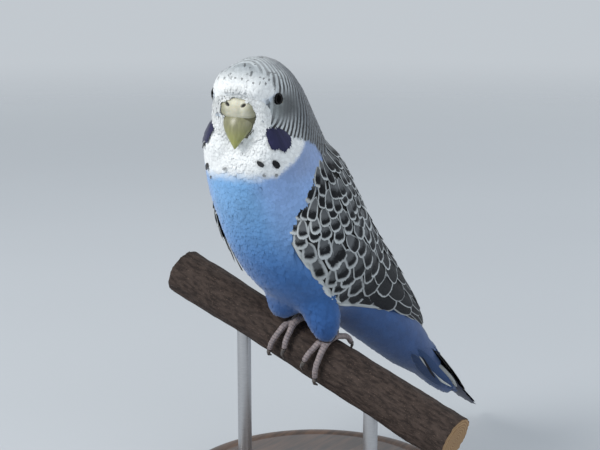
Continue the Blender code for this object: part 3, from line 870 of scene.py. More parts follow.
def skin_uv(data, along, angle):
    """The skin's unwrap, with faces across its seam kept on one side."""
    vertex = values_of(data.loops, "vertex_index", 1, int)
    corner = unwrap(along, angle, 0, len(SPINE_AT) * SPINE_STEP)[vertex]
    for polygon in data.polygons:
        loops = slice(polygon.loop_start, polygon.loop_start + polygon.loop_total)
        u = corner[loops, 0]
        if u.max() - u.min() > 0.5:
            corner[loops, 0] = np.where(u < 0.5, u + 1, u)
    corner[:, 0] = np.clip(corner[:, 0], 0, 1)
    set_uv(data, corner)


def make_skin(look):
    """The one skin under all feathers, the solids it is made from and their triangles' owners."""
    co, tri, owners = joined([node_arrays(name) for name in FLESH + BARE])
    flesh = BVHTree.FromPolygons([Vector(c) for c in co], tri.tolist())
    data = remeshed("skin", co, tri, 0.8, 6, SKIN_GAP)
    at, _ = mesh_arrays(data)
    forward, above, _ = bird_mm(at).T
    thigh = smooth_share(above, 0, 5) * (1 - smooth_share(above, 15, 24)) * (np.abs(forward - 1) < 17)
    set_places(data, melted(data, at, thigh, THIGH_ROUNDS))
    at, normal = mesh_arrays(data)
    owner = owners_of(at, normal, flesh, owners)
    inward = (coat_depth(at, owner) + SKIN_GAP * MM)[:, None]
    at = loosened(at, normal, owner >= len(FLESH)) - normal * inward
    set_places(data, at)
    along, angle, _ = round_spine(at)
    skin_attributes(data, at, owner, along, angle)
    skin_uv(data, along, angle)
    mesh_object("skin", data, look, "blue_plumage", *FLESH)
    return data, flesh, owners


# Small feathers

FEATHER_AT = (0, 5, 10, 18, 28, 42, 65, 130)  # mm from the bill's root
FEATHER_GAP = (0.32, 0.35, 0.42, 0.52, 0.66, 0.80, 0.94, 1.15)
FEATHER_LONG = (1.5, 1.9, 2.6, 3.6, 5.0, 6.6, 8.2, 11.0)
FEATHER_WIDE = (0.65, 0.8, 1.0, 1.35, 1.75, 2.2, 2.6, 3.4)
FEATHER_THICK = 0.05
FEATHER_SAMPLES = 4
EYE_OPEN = 1.5  # mm kept bare round an eye's middle
NEIGHBOURS = [(i, j, k) for i in (-1, 0, 1) for j in (-1, 0, 1) for k in (-1, 0, 1)]


def fineness(points):
    """How much smaller than elsewhere feathers are on the thighs and under the tail's end."""
    place = bird_mm(points)
    forward, above, side = place[:, 0], place[:, 1], np.abs(place[:, 2])
    thigh = smooth_share(-above, -16, -9) * (np.abs(forward - 3) < 12) * smooth_share(side, 1, 4)
    return 1 - 0.42 * np.maximum(thigh, smooth_share(-forward, 55, 78))


def feather_gap(points):
    return np.interp(from_bill(points), FEATHER_AT, FEATHER_GAP) * MM * fineness(points)


def grown_places(points):
    """1 where small feathers grow, 0 at the eyes."""
    grown = np.ones(len(points))
    for sign in (1, -1):
        eye = head_place(*EYE_PLACE, sign * (EYE_SIDE + 1.6))
        grown *= np.linalg.norm(points - eye, axis=-1) > EYE_OPEN * MM
    return grown


def is_clear(grid, key, p, gap):
    """Whether no chosen place in the cells round a place is too near it."""
    for i, j, k in NEIGHBOURS:
        for q, other in grid.get((key[0] + i, key[1] + j, key[2] + k), ()):
            x, y, z = p[0] - q[0], p[1] - q[1], p[2] - q[2]
            if x * x + y * y + z * z < other * gap:
                return False
    return True


def scatter(data):
    """Evenly spread roots of small feathers on a mesh, with normals."""
    co, _ = mesh_arrays(data)
    tri = triangles_of(data)
    a, b, c = co[tri[:, 0]], co[tri[:, 1]], co[tri[:, 2]]
    cross = np.cross(b - a, c - a)
    middle = (a + b + c) / 3
    spacing = feather_gap(middle)
    wanted = np.linalg.norm(cross, axis=1) / 2 / spacing**2 * 1.3 * grown_places(middle)
    total = wanted.sum()
    picks = rng.choice(len(tri), int(total * 3), p=wanted / total)
    r1, r2 = np.sqrt(rng.random(len(picks))), rng.random(len(picks))
    point = a[picks] * (1 - r1)[:, None] + b[picks] * (r1 * (1 - r2))[:, None] + c[picks] * (r1 * r2)[:, None]
    gap = spacing[picks] * 0.82
    chosen, grid = [], {}
    keys = np.floor(point / float(spacing.max())).astype(int)
    for i, key in enumerate(map(tuple, keys)):
        if is_clear(grid, key, point[i], gap[i]):
            chosen.append(i)
            grid.setdefault(key, []).append((tuple(point[i]), gap[i]))
    return point[chosen], unit(cross[picks])[chosen]


def grown_paths(surface, root, normal, way, length):
    """Paths of small feathers that follow the skin from their roots."""
    path = np.empty((len(root), FEATHER_SAMPLES, 3))
    norms = np.empty_like(path)
    path[:, 0], norms[:, 0] = root, normal
    step = (length / (FEATHER_SAMPLES - 1))[:, None]
    for j in range(1, FEATHER_SAMPLES):
        root, normal = nearest_on(surface, root + way * step)
        way = tangent(way, normal)
        path[:, j], norms[:, j] = root, normal
    return path, norms


def grow_coat(name, template, surface, root, normal, slot, look, stretch):
    """One piece of small feathers from their roots."""
    count = len(root)
    way = lie(root, normal)
    way = unit(way + np.cross(normal, way) * rng.normal(0, 0.07, (count, 1)))
    far, fine = from_bill(root), fineness(root) * MM
    length = np.interp(far, FEATHER_AT, FEATHER_LONG) * rng.uniform(0.85, 1.15, count) * fine
    width = np.interp(far, FEATHER_AT, FEATHER_WIDE) * rng.uniform(0.9, 1.1, count) * fine
    path, norms = grown_paths(surface, root - normal * 0.1 * MM, normal, way, length)
    depth = coat_depth(root, np.full(count, -1))[:, None]
    rise = np.linspace(0, 1, FEATHER_SAMPLES)[None] ** 0.9
    lift = depth * rise * rng.uniform(0.85, 1.05, (count, 1)) - 0.05 * MM
    fray = 0.05 if template is TINY else 0.07
    at, soft, across, along = make_vanes(template, path, norms, width, lift, FEATHER_THICK, fray)
    tip_tone, _, tip_amount = markings(path[:, -1])
    dark_tone = flecked(path[:, -1], tip_tone)
    own_tone, phase, _ = markings(at)
    tone = (tip_tone[:, None] * 0.5 + own_tone * 0.5) * (dark_tone / tip_tone)[:, None]
    feather_piece(
        name, template, look, slot, stretch, root, at, soft, tone=tone,
        bars=bars_attribute(template, phase, tip_amount[:, None]), vane=vane_attribute(across, along))


def wing_share(points, edges):
    """How far inside a folded wing places lie: above 0 within its edges, in radians."""
    along, angle, _ = round_spine(points)
    inside = np.full(len(points), -9.0)
    for sign, (bins, low, high) in edges.items():
        over = sign * angle - np.interp(along, bins, low)
        within = np.minimum(over, np.interp(along, bins, high) - sign * angle)
        within = np.where((along > bins[0] - 1) & (along < bins[-1]), within, -9.0)
        inside = np.maximum(inside, within)
    return inside


def make_coat(look, skin_data, flesh, owners, edges):
    """All small feathers, in pieces by the part of the body they cover."""
    surface = Surface(skin_data)
    root, normal = scatter(skin_data)
    owner = owners_of(root, normal, flesh, owners)
    body = owned(owner, "head", "neck", "trunk", "thigh_left", "thigh_right")
    root, normal = root[body], normal[body]
    # feathers that would end on a wing or on the tail's upper side are left out
    far = np.interp(from_bill(root), FEATHER_AT, FEATHER_LONG)[:, None] * MM
    end = root + lie(root, normal) * far * 0.8
    along, angle, _ = round_spine(root)
    mantle = (along > 52) & (np.abs(angle) > math.radians(140))
    tail_top = (bird_mm(root)[:, 0] < -64) & (np.abs(angle) > math.radians(62))
    kept = (wing_share(root, edges) < 0.0) & (wing_share(end, edges) < 0.08) & ~mantle & ~tail_top
    root, normal, along, angle = root[kept], normal[kept], along[kept], angle[kept]
    front = np.abs(angle) < math.radians(90)
    face = from_bill(root) < 15
    stretches = (
        ("coat_face", face, TINY, "white_plumage", (0, 30)),
        ("coat_head", ~face & (along < 26), SMALL, "white_plumage", (0, 30)),
        ("coat_throat", ~face & (along >= 26) & (along < 42) & front, SMALL, "white_plumage", (24, 44)),
        ("coat_breast", ~face & (along >= 42) & (along < 80) & front, SMALL, "blue_plumage", (40, 84)),
        ("coat_nape", ~face & (along >= 26) & (along < 80) & ~front, SMALL, "barred_plumage", (24, 84)),
        ("coat_belly", ~face & (along >= 80), SMALL, "blue_plumage", (76, 182)),
    )
    for name, chosen, template, slot, stretch in stretches:
        grow_coat(name, template, surface, root[chosen], normal[chosen], slot, look, stretch)
    return surface


# Feathers at the bill's edge, cheek patches and throat spots: places are forward, above, side on the head

RIM = (
    (41.3, 77.4, 0.0), (41.0, 77.2, 2.5), (40.1, 76.4, 4.4), (39.1, 74.9, 5.4), (38.5, 72.9, 5.5),
    (38.5, 70.6, 4.5), (38.4, 68.2, 3.5), (38.0, 66.3, 2.5), (37.8, 65.0, 1.6), (37.8, 64.6, 0.0),
)
RIM_WAY = (
    (0.75, -0.66, 0.0), (0.72, -0.66, -0.06), (0.6, -0.75, -0.15), (0.4, -0.85, -0.15), (0.3, -0.9, -0.05),
    (0.2, -0.95, 0.05), (0.15, -1.0, 0.1), (0.1, -1.0, 0.1), (0.1, -1.0, 0.05), (0.1, -1.0, 0.0),
)
RIM_RINGS, RIM_FEATHERS = 9, 85
RIM_WIDE = 0.7
RIM_LIFT = (-0.1, 0.55, 0.9, 1.0)
RIM_GREY = (0.74, 0.76, 0.75)
PATCH_ROOTS = ((38.6, 69.6, 8.4), (35.2, 69.2, 11.2))
PATCH_TIPS = (
    (38.3, 66.4, 8.9), (36.9, 62.9, 9.6), (36.0, 63.8, 10.2), (34.4, 62.6, 11.1), (33.0, 63.3, 12.0),
    (32.2, 65.4, 12.5),
)
PATCH_FEATHERS = 22
PATCH_DARK, PATCH_LIGHT = (0.014, 0.016, 0.056), (0.022, 0.021, 0.074)
# Spots: place, width and length in mm, and darkness
SPOTS = (
    ((37.8, 59.6, 6.4), 1.3, 2.3, 0.96), ((35.7, 59.6, 9.6), 1.7, 2.9, 1.0),
    ((36.6, 56.6, 6.9), 0.8, 1.0, 0.3), ((34.7, 56.6, 9.4), 0.9, 0.8, 0.35),
    ((34.5, 56.7, -9.7), 1.5, 2.8, 1.0), ((38.0, 57.2, -3.3), 0.7, 1.3, 0.35),
    ((34.3, 53.8, -8.7), 0.7, 1.0, 0.7), ((34.9, 62.2, -10.8), 1.3, 2.5, 1.0),
)
SPOT_GREY, SPOT_BLACK = (0.5, 0.52, 0.53), (0.006, 0.006, 0.008)
SPOT_LIFT = (0.55, 0.8, 0.9, 0.95, 0.95)


def laid_on(surface, start, end, samples=5):
    """Paths on the skin between world places, with normals."""
    t = np.linspace(0, 1, samples)[None, :, None]
    straight = start[:, None] * (1 - t) + end[:, None] * t
    place, normal = nearest_on(surface, straight.reshape(-1, 3))
    return place.reshape(straight.shape), unit(normal.reshape(straight.shape))


def plain_coat(name, template, path, normal, width, lift, tone, look, slot, stretch):
    """Feathers of given paths and one tone each."""
    at, soft, across, along = make_vanes(template, path, normal, width, lift, FEATHER_THICK)
    vane = vane_attribute(across, along)
    feather_piece(
        name, template, look, slot, stretch, path[:, 0], at, soft,
        tone=np.repeat(tone[:, None], at.shape[1], 1),
        bars=bars_attribute(template, np.zeros_like(along), 0.0), vane=vane)


def rim_ring(rim, ways, steps, ring, sign):
    """Places, directions and heights of one ring of feathers round half of the bill's edge."""
    where = rng.uniform(0, steps[-1], RIM_FEATHERS)
    place, way = sampled(where, steps, rim), sampled(where, steps, ways)
    beside = smooth_share(place[:, 2], 1, 3.5)
    place[:, 0] -= (0.12 + 0.1 * beside) * ring
    place[:, 1] += 0.32 * ring * (1 - beside)
    place[:, 2] += 0.34 * ring * beside
    place[:, 2] *= sign
    way[:, 2] *= sign
    return place, unit(way), np.full(len(where), 0.30 + 0.05 * ring)


def make_rim(look, pieces):
    """Short feathers that reach over the edge of cere and bill, laid on all the face's pieces."""
    outside = Surface(*pieces)
    rim, ways = np.array(RIM), np.array(RIM_WAY)
    steps = running_length(rim)
    rings = [rim_ring(rim, ways, steps, ring, sign) for sign in (1, -1) for ring in range(RIM_RINGS)]
    place, way, rise = (np.concatenate(part) for part in zip(*rings))
    way = way + rng.normal(0, 0.045, way.shape)
    way = unit(np.stack([way[:, 2], -way[:, 0], way[:, 1]], 1) @ np.array(HEAD.to_3x3()).T)
    root, normal = nearest_on(outside, on_head(place))
    count = len(root)
    length = rng.uniform(1.35, 1.85, count) * MM
    path, norms = grown_paths(outside, root, normal, tangent(way, normal), length)
    lift = np.array(RIM_LIFT)[None] * rise[:, None] * rng.uniform(0.9, 1.1, (count, 1)) * MM
    tone = blend(WHITE, RIM_GREY, rng.random(count))
    plain_coat("coat_rim", TINY, path, eased(norms, 2, 1), np.full(count, RIM_WIDE * MM), lift, tone, look,
               "white_plumage", (0, 30))


def make_patch(look, surface, name, sign):
    """One violet cheek patch on top of the coat."""
    tips = np.array(PATCH_TIPS)
    u = np.linspace(0, 1, PATCH_FEATHERS)
    root = np.array(PATCH_ROOTS[0]) * (1 - u[:, None]) + np.array(PATCH_ROOTS[1]) * u[:, None]
    tip = sampled(u, np.linspace(0, 1, len(tips)), tips)
    flip = np.array([1, 1, sign])
    start = on_head((root + rng.normal(0, 0.25, root.shape)) * flip)
    end = on_head((tip + rng.normal(0, 0.12, tip.shape)) * flip)
    path, normal = laid_on(surface, start, end)
    lift = np.linspace(0.35, 0.85, 5)[None] + rng.uniform(0, 0.12, (len(u), 1))
    tone = blend(PATCH_DARK, PATCH_LIGHT, rng.random(len(u)))
    width = rng.uniform(1.4, 1.9, len(u)) * MM
    plain_coat(
        f"cheek_patch_{name}", SMALL, path, normal, width, lift * MM, tone, look, "navy_plumage", (0, 40))


def make_spots(look, surface):
    """Black throat spots on top of the coat."""
    place, width, long, dark = (np.array(column) for column in zip(*SPOTS))
    middle, normal = nearest_on(surface, on_head(place))
    reach = lie(middle, normal) * long[:, None] * 0.5 * MM
    path, normal = laid_on(surface, middle - reach, middle + reach)
    lift = np.tile(SPOT_LIFT, (len(place), 1)) * MM
    tone = blend(SPOT_GREY, SPOT_BLACK, dark)
    plain_coat("throat_spots", SPOT, path, normal, width * MM, lift, tone, look, "navy_plumage", (0, 40))


# Wings

PALE_EDGE = (0.50, 0.53, 0.54)
WING_CORE = (0.010, 0.011, 0.013)
WING_STRETCH = (20, 130)
# A row of wing feathers: where their tips lie along the wing at its lower edge and how much that shifts
# to its upper edge, the stretch across that they fill, length, width and pale margin in mm, stacking
# height in mm, how pale their roots are, how much further up the wing their roots lie, their spacing in
# widths, and their shape
Row = namedtuple("Row", "tip skew across length width rim lift root slant crowd template")
WING_ROWS = (
    Row(0.985, 0.0, (0.10, 0.60), 36, 4.2, 0.31, (0.0, 0.2), 0.0, 0.05, 0.30, LONG),  # primaries
    Row(0.90, -0.04, (0.04, 0.50), 32, 4.4, 0.4, (0.05, 0.35), 0.0, 0.10, 0.34, LONG),
    Row(0.93, 0.0, (0.52, 1.0), 30, 5.0, 0.4, (0.05, 0.4), 0.0, 0.05, 0.40, LONG),  # tertials
    Row(0.80, -0.04, (0.02, 0.96), 28, 5.2, 0.49, (0.15, 0.5), 0.0, 0.16, 0.42, LONG),  # secondaries
    Row(0.67, 0.03, (0.02, 0.98), 23, 7.0, 0.62, (0.25, 0.65), 0.0, 0.16, 0.60, LONG),
    Row(0.555, 0.05, (0.02, 0.98), 16, 7.0, 0.76, (0.3, 0.75), 0.0, 0.12, 0.64, LARGE),  # coverts
    Row(0.465, 0.05, (0.02, 0.98), 12.5, 6.6, 0.85, (0.35, 0.85), 0.15, 0.10, 0.66, LARGE),
    Row(0.39, 0.04, (0.02, 0.98), 10.5, 6.2, 0.93, (0.4, 0.9), 0.4, 0.10, 0.66, LARGE),
    Row(0.325, 0.04, (0.02, 0.98), 9.0, 5.6, 0.89, (0.4, 0.95), 0.55, 0.08, 0.68, LARGE),
    Row(0.27, 0.03, (0.02, 0.98), 8.0, 5.2, 0.89, (0.4, 0.95), 0.8, 0.08, 0.68, LARGE),
    Row(0.22, 0.03, (0.02, 0.98), 7.2, 4.8, 0.85, (0.4, 0.95), 0.8, 0.06, 0.68, LARGE),
    Row(0.175, 0.02, (0.02, 0.98), 6.4, 4.4, 0.8, (0.4, 0.95), 0.8, 0.06, 0.68, LARGE),
    Row(0.135, 0.02, (0.02, 0.98), 5.8, 4.0, 0.71, (0.4, 0.95), 0.8, 0.04, 0.68, LARGE),
    Row(0.10, 0.01, (0.02, 0.98), 5.2, 3.6, 0.67, (0.4, 0.95), 0.8, 0.02, 0.68, LARGE),
    Row(0.065, 0.01, (0.04, 0.98), 4.8, 3.2, 0.62, (0.4, 0.9), 0.8, 0.0, 0.68, LARGE),
    Row(0.03, 0.0, (0.06, 0.98), 4.4, 3.0, 0.53, (0.4, 0.85), 0.8, 0.0, 0.68, LARGE),
)
WING_GIRTH = ((0.0, 0.4, 0.7, 1.0), (15.0, 17.5, 13.0, 8.0))  # radius in mm at shares along the wing
# How much nearer to the belly than the CAD wing the feathers start, in radians, at mm along the spine
EDGE_AT = (34, 40, 44, 48, 52, 56, 60, 64, 70, 80, 90, 100, 112, 120)
EDGE_SHIFT = {
    1: (0.0, 0.19, 0.13, 0.02, -0.05, -0.03, 0.0, 0.05, 0.15, 0.30, 0.22, 0.12, 0.04, 0.0),
    -1: (0.0, 0.0, 0.08, 0.17, 0.21, 0.20, 0.15, 0.10, 0.15, 0.30, 0.22, 0.12, 0.04, 0.0),
}
FAR_FLARE = (42, 50, 60, 72), (0.0, 1.3, 1.4, 0.0)  # how far the right wing's edge stands out, in mm
FRONT_FEATHERS = 9
# the right wing's front feathers are dark as painted shade; the same feathers are pale on the left wing
FRONT_TONE_AND_SHADE = {1: (0.62, 0.66, 0.66), -1: (0.05, 0.05, 0.055)}
FRONT_CORE = (0.3, 0.32, 0.33)


def wing_edges(name, sign):
    """Ways along the spine that a wing covers, and its feathers' lower and upper edge angle at each."""
    co, tri = node_arrays(name)
    shares = rng.dirichlet((1, 1, 1), (len(tri), 24))
    along, angle, _ = round_spine(np.einsum("tsk,tkc->tsc", shares, co[tri]).reshape(-1, 3))
    angle = np.abs(angle)
    bins = np.arange(along.min() + 0.5, along.max(), 1.5)
    near = [angle[np.abs(along - b) < 2.0] for b in bins]
    low = np.array([part.min() for part in near]) - np.interp(bins, EDGE_AT, EDGE_SHIFT[sign])
    return bins, eased(low, 4), eased(np.array([part.max() for part in near]), 4)


def spine_places(surface, along, angle):
    """Places and normals on the skin at ways along the spine in mm and angles round it from the belly."""
    where = np.clip(along / SPINE_STEP, 0, len(SPINE_AT) - 1.001)
    index = where.astype(int)
    share = (where - index)[..., None]
    belly, left = (part.reshape(*index.shape, 3) for part in spine_frame(index.ravel()))
    centre = SPINE_AT[index] * (1 - share) + SPINE_AT[index + 1] * share
    out = belly * np.cos(angle)[..., None] + left * np.sin(angle)[..., None]
    place, normal = np.empty_like(centre), np.empty_like(centre)
    for i in np.ndindex(index.shape):
        hit = surface.struck(centre[i] + out[i] * 40 * MM, -out[i])
        place[i], normal[i] = hit or surface.nearest(centre[i] + out[i] * 8 * MM)
    return place, normal


def wing_places(surface, edges, sign, a, b):
    """Smoothed places and normals on the skin at shares a along and b across a folded wing."""
    bins, low, high = edges
    along = bins[0] + np.clip(a, -0.1, 1.02) * (bins[-1] - bins[0])
    angle = np.interp(along, bins, low) * (1 - b) + np.interp(along, bins, high) * b
    return eased_rows(*spine_places(surface, along, sign * angle), 4, 8)


def wing_row(surface, edges, sign, row):
    """Paths, normals, widths and shares across the wing of one row of its feathers."""
    bins, low, high = edges
    reach = bins[-1] - bins[0]
    middle = row.tip + row.skew / 2
    along = bins[0] + middle * reach
    extent = (np.interp(along, bins, high) - np.interp(along, bins, low)) * np.interp(middle, *WING_GIRTH)
    span = row.across[1] - row.across[0]
    count = max(int(extent * span / (row.width * row.crowd)), 4)
    b_tip = row.across[0] + span * (np.arange(count) + 0.5) / count
    b_tip = b_tip + rng.uniform(-0.25, 0.25, count) * span / count
    a_tip = row.tip + row.skew * b_tip + rng.uniform(-0.011, 0.011, count)
    length = row.length * rng.uniform(0.93, 1.07, count)
    t = np.linspace(0, 1, 6 if row.length < 15 else 9)[None]
    a = a_tip[:, None] - (length / reach)[:, None] * (1 - t)
    b = b_tip[:, None] * (1 - row.slant * (1 - t)) + row.slant * (1 - t)
    path, normal = wing_places(surface, edges, sign, a, np.clip(b, 0.0, 1.0))
    return path, normal, rng.uniform(0.93, 1.07, count) * row.width * MM, b_tip


def dressed(template, path, normal, width, lift, rim, pale, core, root=0.0, roll=0.0, thick=0.10):
    """All the arrays of some large feathers, for large_piece."""
    at, soft, across, along = make_vanes(template, path, normal, width, lift, thick, 0.012, 0.10, 0.3)
    up = unit(normal.mean(1))[:, None]
    at = at + up * (across * MM * roll)[..., None]
    half = width[:, None] / 2 / MM
    side = np.maximum(half * template.width_at[None] - np.abs(across), 0)
    # the end of the feather is round, so its distance is taken along a curve
    tip = np.maximum(along.max(1, keepdims=True) - along - 0.35 * across**2 / half, 0)
    vane = vane_attribute(across, along)
    rim = np.asarray(rim, float).reshape(-1, 1)
    return {
        "root": path[:, 0], "at": at, "soft": soft, "tone": np.broadcast_to(pale, at.shape),
        "bars": bars_attribute(template, np.full_like(along, root), 0.0), "vane": vane,
        "core": np.broadcast_to(core, at.shape), "margin": np.stack(np.broadcast_arrays(side, tip, rim), -1),
    }


def large_piece(name, template, parts, look, slot, stretch):
    """One piece of large feathers from several rows that share a template."""
    arrays = {key: np.concatenate([part[key] for part in parts]) for key in parts[0]}
    feather_piece(name, template, look, slot, stretch, **arrays)


def make_wing(look, surface, name, sign, edges):
    """One folded wing: primaries, secondaries and rows of coverts, each row over the next."""
    parts = {LARGE: [], LONG: []}
    for row in WING_ROWS:
        path, normal, width, across = wing_row(surface, edges, sign, row)
        t = np.linspace(0, 1, path.shape[1])[None]
        lift = (row.lift[0] + (row.lift[1] - row.lift[0]) * t) + rng.uniform(-0.05, 0.05, (len(path), 1))
        if sign < 0:
            flare = np.interp(round_spine(path[:, -1])[0], *FAR_FLARE)
            lift = lift + (flare * (1 - smooth_share(across, 0.02, 0.25)))[:, None] * t
        rim = row.rim * rng.uniform(0.75, 1.25, len(across))
        if sign > 0 and row.length < 30:
            rim = rim * (1 + 0.75 * (1 - smooth_share(across, 0.05, 0.35)))
        parts[row.template].append(dressed(
            row.template, path, normal, width, lift * MM, rim, PALE_EDGE, WING_CORE, row.root, 0.05 * sign))
    parts[LONG].append(front_feathers(surface, sign, edges))
    large_piece(f"{name}_coverts", LARGE, parts[LARGE], look, "barred_plumage", WING_STRETCH)
    large_piece(f"{name}_quills", LONG, parts[LONG], look, "barred_plumage", WING_STRETCH)


def front_feathers(surface, sign, edges):
    """Long narrow feathers along the wing's front edge, pale on the left wing and dark on the right, where
    the dark is painted shade.
    """
    t = np.linspace(0, 1, 8)[None]
    a = np.linspace(0.08, 0.42, FRONT_FEATHERS)[:, None] + 0.18 * t
    b = np.full_like(a, 0.012) + rng.uniform(0, 0.02, (len(a), 1))
    path, normal = wing_places(surface, edges, sign, a, b)
    lift = np.linspace(0.5, 0.75, 8)[None] * np.ones((len(a), 1)) * MM
    return dressed(LONG, path, normal, np.full(len(a), 1.4 * MM), lift, 3.0, FRONT_TONE_AND_SHADE[sign], FRONT_CORE)


MANTLE_ROWS = 11


def make_mantle(look, surface, edges):
    """Scalloped feathers of the back, between and over the folded wings."""
    bins, _, high = edges
    parts = []
    for k in range(MANTLE_ROWS):
        radius, wide, long = (
            np.interp(k, (0, MANTLE_ROWS), ends) for ends in ((17, 12), (5.0, 7.5), (8.0, 17.0)))
        tip = 57.0 + 4.3 * k + 0.13 * k * k
        half = math.pi - np.interp(tip, bins, high) + 0.14
        count = max(int(2 * half * radius / (wide * 0.7)), 1)
        angle = math.pi + half * (np.linspace(-1, 1, count) if count > 1 else np.zeros(1))
        angle = angle + rng.uniform(-0.04, 0.04, count)
        t = np.linspace(0, 1, 6)[None]
        along = tip + rng.uniform(-0.6, 0.6, (count, 1)) - long * (1 - t)
        places = spine_places(surface, along, np.broadcast_to(angle[:, None], along.shape))
        lift = (0.55 + 0.75 * t) * np.ones((count, 1)) * MM
        rim = np.full(count, np.interp(k, (0, 5, MANTLE_ROWS), (0.95, 0.85, 0.25)))
        width = rng.uniform(0.93, 1.07, count) * wide * MM
        root = np.interp(k, (0, 8), (1.0, 0.2))
        parts.append(dressed(LARGE, *eased_rows(*places, 3, 6), width, lift, rim, PALE_EDGE, WING_CORE, root))
    large_piece("mantle_feathers", LARGE, parts, look, "barred_plumage", WING_STRETCH)


# Tail

# Middle line of the tail: forward, above, half width and half thickness in mm
TAIL_LINE = (
    (-50.0, -3.0, 4.0, 1.6), (-54.0, -6.4, 5.2, 1.8), (-62.0, -14.0, 6.2, 2.0), (-72.0, -23.8, 7.0, 1.9),
    (-81.0, -32.4, 6.6, 1.6), (-90.0, -40.2, 5.2, 1.2), (-100.0, -47.6, 3.4, 0.8), (-108.8, -53.3, 1.6, 0.45),
)
TAIL_WHITE = (0.62, 0.64, 0.62)
TAIL_BLUE = (0.035, 0.075, 0.20)
TAIL_NAVY = (0.012, 0.022, 0.085)
TAIL_BLACK = (0.008, 0.009, 0.014)
# Each pair of tail feathers: length in mm, place aside in half widths, width in mm, layer in half
# thicknesses, and colours of margin and middle with the margin's width in mm
TAIL_PAIRS = (
    (78.0, 0.14, 4.8, 0.90, TAIL_NAVY, TAIL_NAVY, 0.5),
    (68.0, 0.40, 5.0, 0.58, TAIL_BLUE, TAIL_BLACK, 0.8),
    (60.0, 0.78, 4.6, 0.24, TAIL_WHITE, TAIL_BLACK, 1.0),
    (53.0, 0.95, 4.6, -0.12, TAIL_WHITE, TAIL_BLACK, 1.1),
    (43.0, 0.88, 4.6, -0.48, TAIL_WHITE, TAIL_BLUE, 0.8),
    (36.0, 0.98, 4.4, -0.84, TAIL_WHITE, TAIL_BLUE, 0.8),
)
# Outer feathers seen from below: start and length along the spine in mm, angle at both ends in degrees,
# layer, width and margin in mm, and colours of margin and middle
UNDER_TAIL = (
    (132, 40, 68, 58, 1.7, 4.2, 0.3, (0.050, 0.098, 0.23), (0.036, 0.080, 0.20)),
    # this feather's dark middle: partly its own blue, partly painted shade where it lies under the tail
    (131, 31, 50, 43, 1.8, 3.8, 0.3, (0.14, 0.19, 0.29), (0.032, 0.064, 0.16)),
    (135, 34, 59, 52, 2.2, 0.9, 3.0, TAIL_WHITE, TAIL_WHITE),
    (137, 17, 63, 57, 2.3, 0.8, 0.1, TAIL_BLACK, TAIL_BLACK),
    (149, 25, 93, 91, 1.2, 1.8, 3.0, TAIL_WHITE, TAIL_WHITE),
)
UNDER_RISE = 0.8  # mm from root to tip
FAR_SIDE_LOWER = 0.9  # mm that the right side's under feathers lie lower


def tail_pair(line, rows, long, aside, wide, layer, pale, core, rim):
    """The left and right feather of a pair."""
    steps = running_length(line) / MM
    t = np.linspace(0, 1, 12)
    way = t * long
    pair = []
    for sign in (1, -1):
        path = sampled(way, steps, line)
        normal = unit(np.cross(unit(np.gradient(path, axis=0)), np.array([[1.0, 0, 0]])))
        normal = normal * np.sign(normal[:, 2:3])
        path[:, 0] += sign * aside * np.interp(way, steps, rows[:, 2]) * MM * (0.4 + 0.6 * t)
        lift = layer * np.interp(way, steps, rows[:, 3]) * MM
        pair.append(dressed(
            LONG, eased(path, 3)[None], normal[None], np.array([wide * MM]), lift[None], rim, pale, core,
            roll=-0.06 * sign, thick=0.14))
    return pair


def under_feather(surface, sign, start, long, first, last, layer, wide, rim, pale, core):
    t = np.linspace(0, 1, 9)[None]
    places = spine_places(surface, start + long * t, np.radians(first + (last - first) * t) * sign)
    lift = np.linspace(layer - UNDER_RISE, layer, 9)[None] - (FAR_SIDE_LOWER if sign < 0 else 0)
    return dressed(
        LONG, *eased_rows(*places, 6, 10), np.array([wide * MM]), lift * MM, rim, pale, core,
        roll=-0.1 * sign, thick=0.12)


def make_tail(look, surface):
    """Six pairs of tail feathers, the middle pair longest and on top, and the outer ones from below."""
    rows = np.array(TAIL_LINE)
    line = world_rows(np.stack([rows[:, 0], rows[:, 1], np.zeros(len(rows))], 1))
    parts = [feather for pair in TAIL_PAIRS for feather in tail_pair(line, rows, *pair)]
    parts += [under_feather(surface, sign, *row) for sign in (1, -1) for row in UNDER_TAIL]
    large_piece("tail_feathers", LONG, parts, look, "navy_plumage", (60, 182))


# Bill

# Swellings that make up the cere: place, and half sizes forward, up, sideways, in mm on the head
CERE_SWELLINGS = (
    ((38.4, 74.4, 2.1), (2.8, 2.9, 3.1)),
    ((38.4, 74.4, -2.1), (2.8, 2.9, 3.1)),
    ((38.9, 74.2, 0.0), (2.5, 3.0, 3.4)),
    ((38.0, 72.9, 0.0), (2.9, 2.3, 5.5)),
)
NOSTRIL_PLACE = (41.1, 75.0)
NOSTRIL_SIDE, NOSTRIL_DEEP = 2.35, 0.5
BILL_ASIDE = -0.3  # mm to the bird's left of the head's middle
# Each half of the bill, in mm on the head: culmen forward, above, cutting edge forward, above, half width
UPPER_BILL = (
    (33.5, 75.2, 32.5, 68.6, 4.2), (36.5, 74.6, 35.5, 68.2, 4.6), (39.0, 73.2, 37.0, 67.8, 4.6),
    (40.8, 71.2, 38.0, 67.2, 4.1), (41.6, 68.7, 38.6, 66.2, 3.1), (41.5, 66.2, 39.1, 65.2, 2.0),
    (40.9, 64.2, 39.5, 64.0, 1.0), (40.2, 62.7, 40.2, 62.7, 0.05),
)
LOWER_BILL = (
    (32.0, 68.4, 32.0, 65.2, 3.2), (35.2, 68.0, 34.8, 64.8, 3.2), (37.2, 67.2, 36.8, 64.9, 2.6),
    (38.4, 66.2, 38.2, 65.2, 1.5), (38.9, 65.4, 38.9, 65.4, 0.05),
)
BILL_SIDES, BILL_RINGS = 48, 40
BILL_TOP, BILL_LONG = 73.0, 10.3


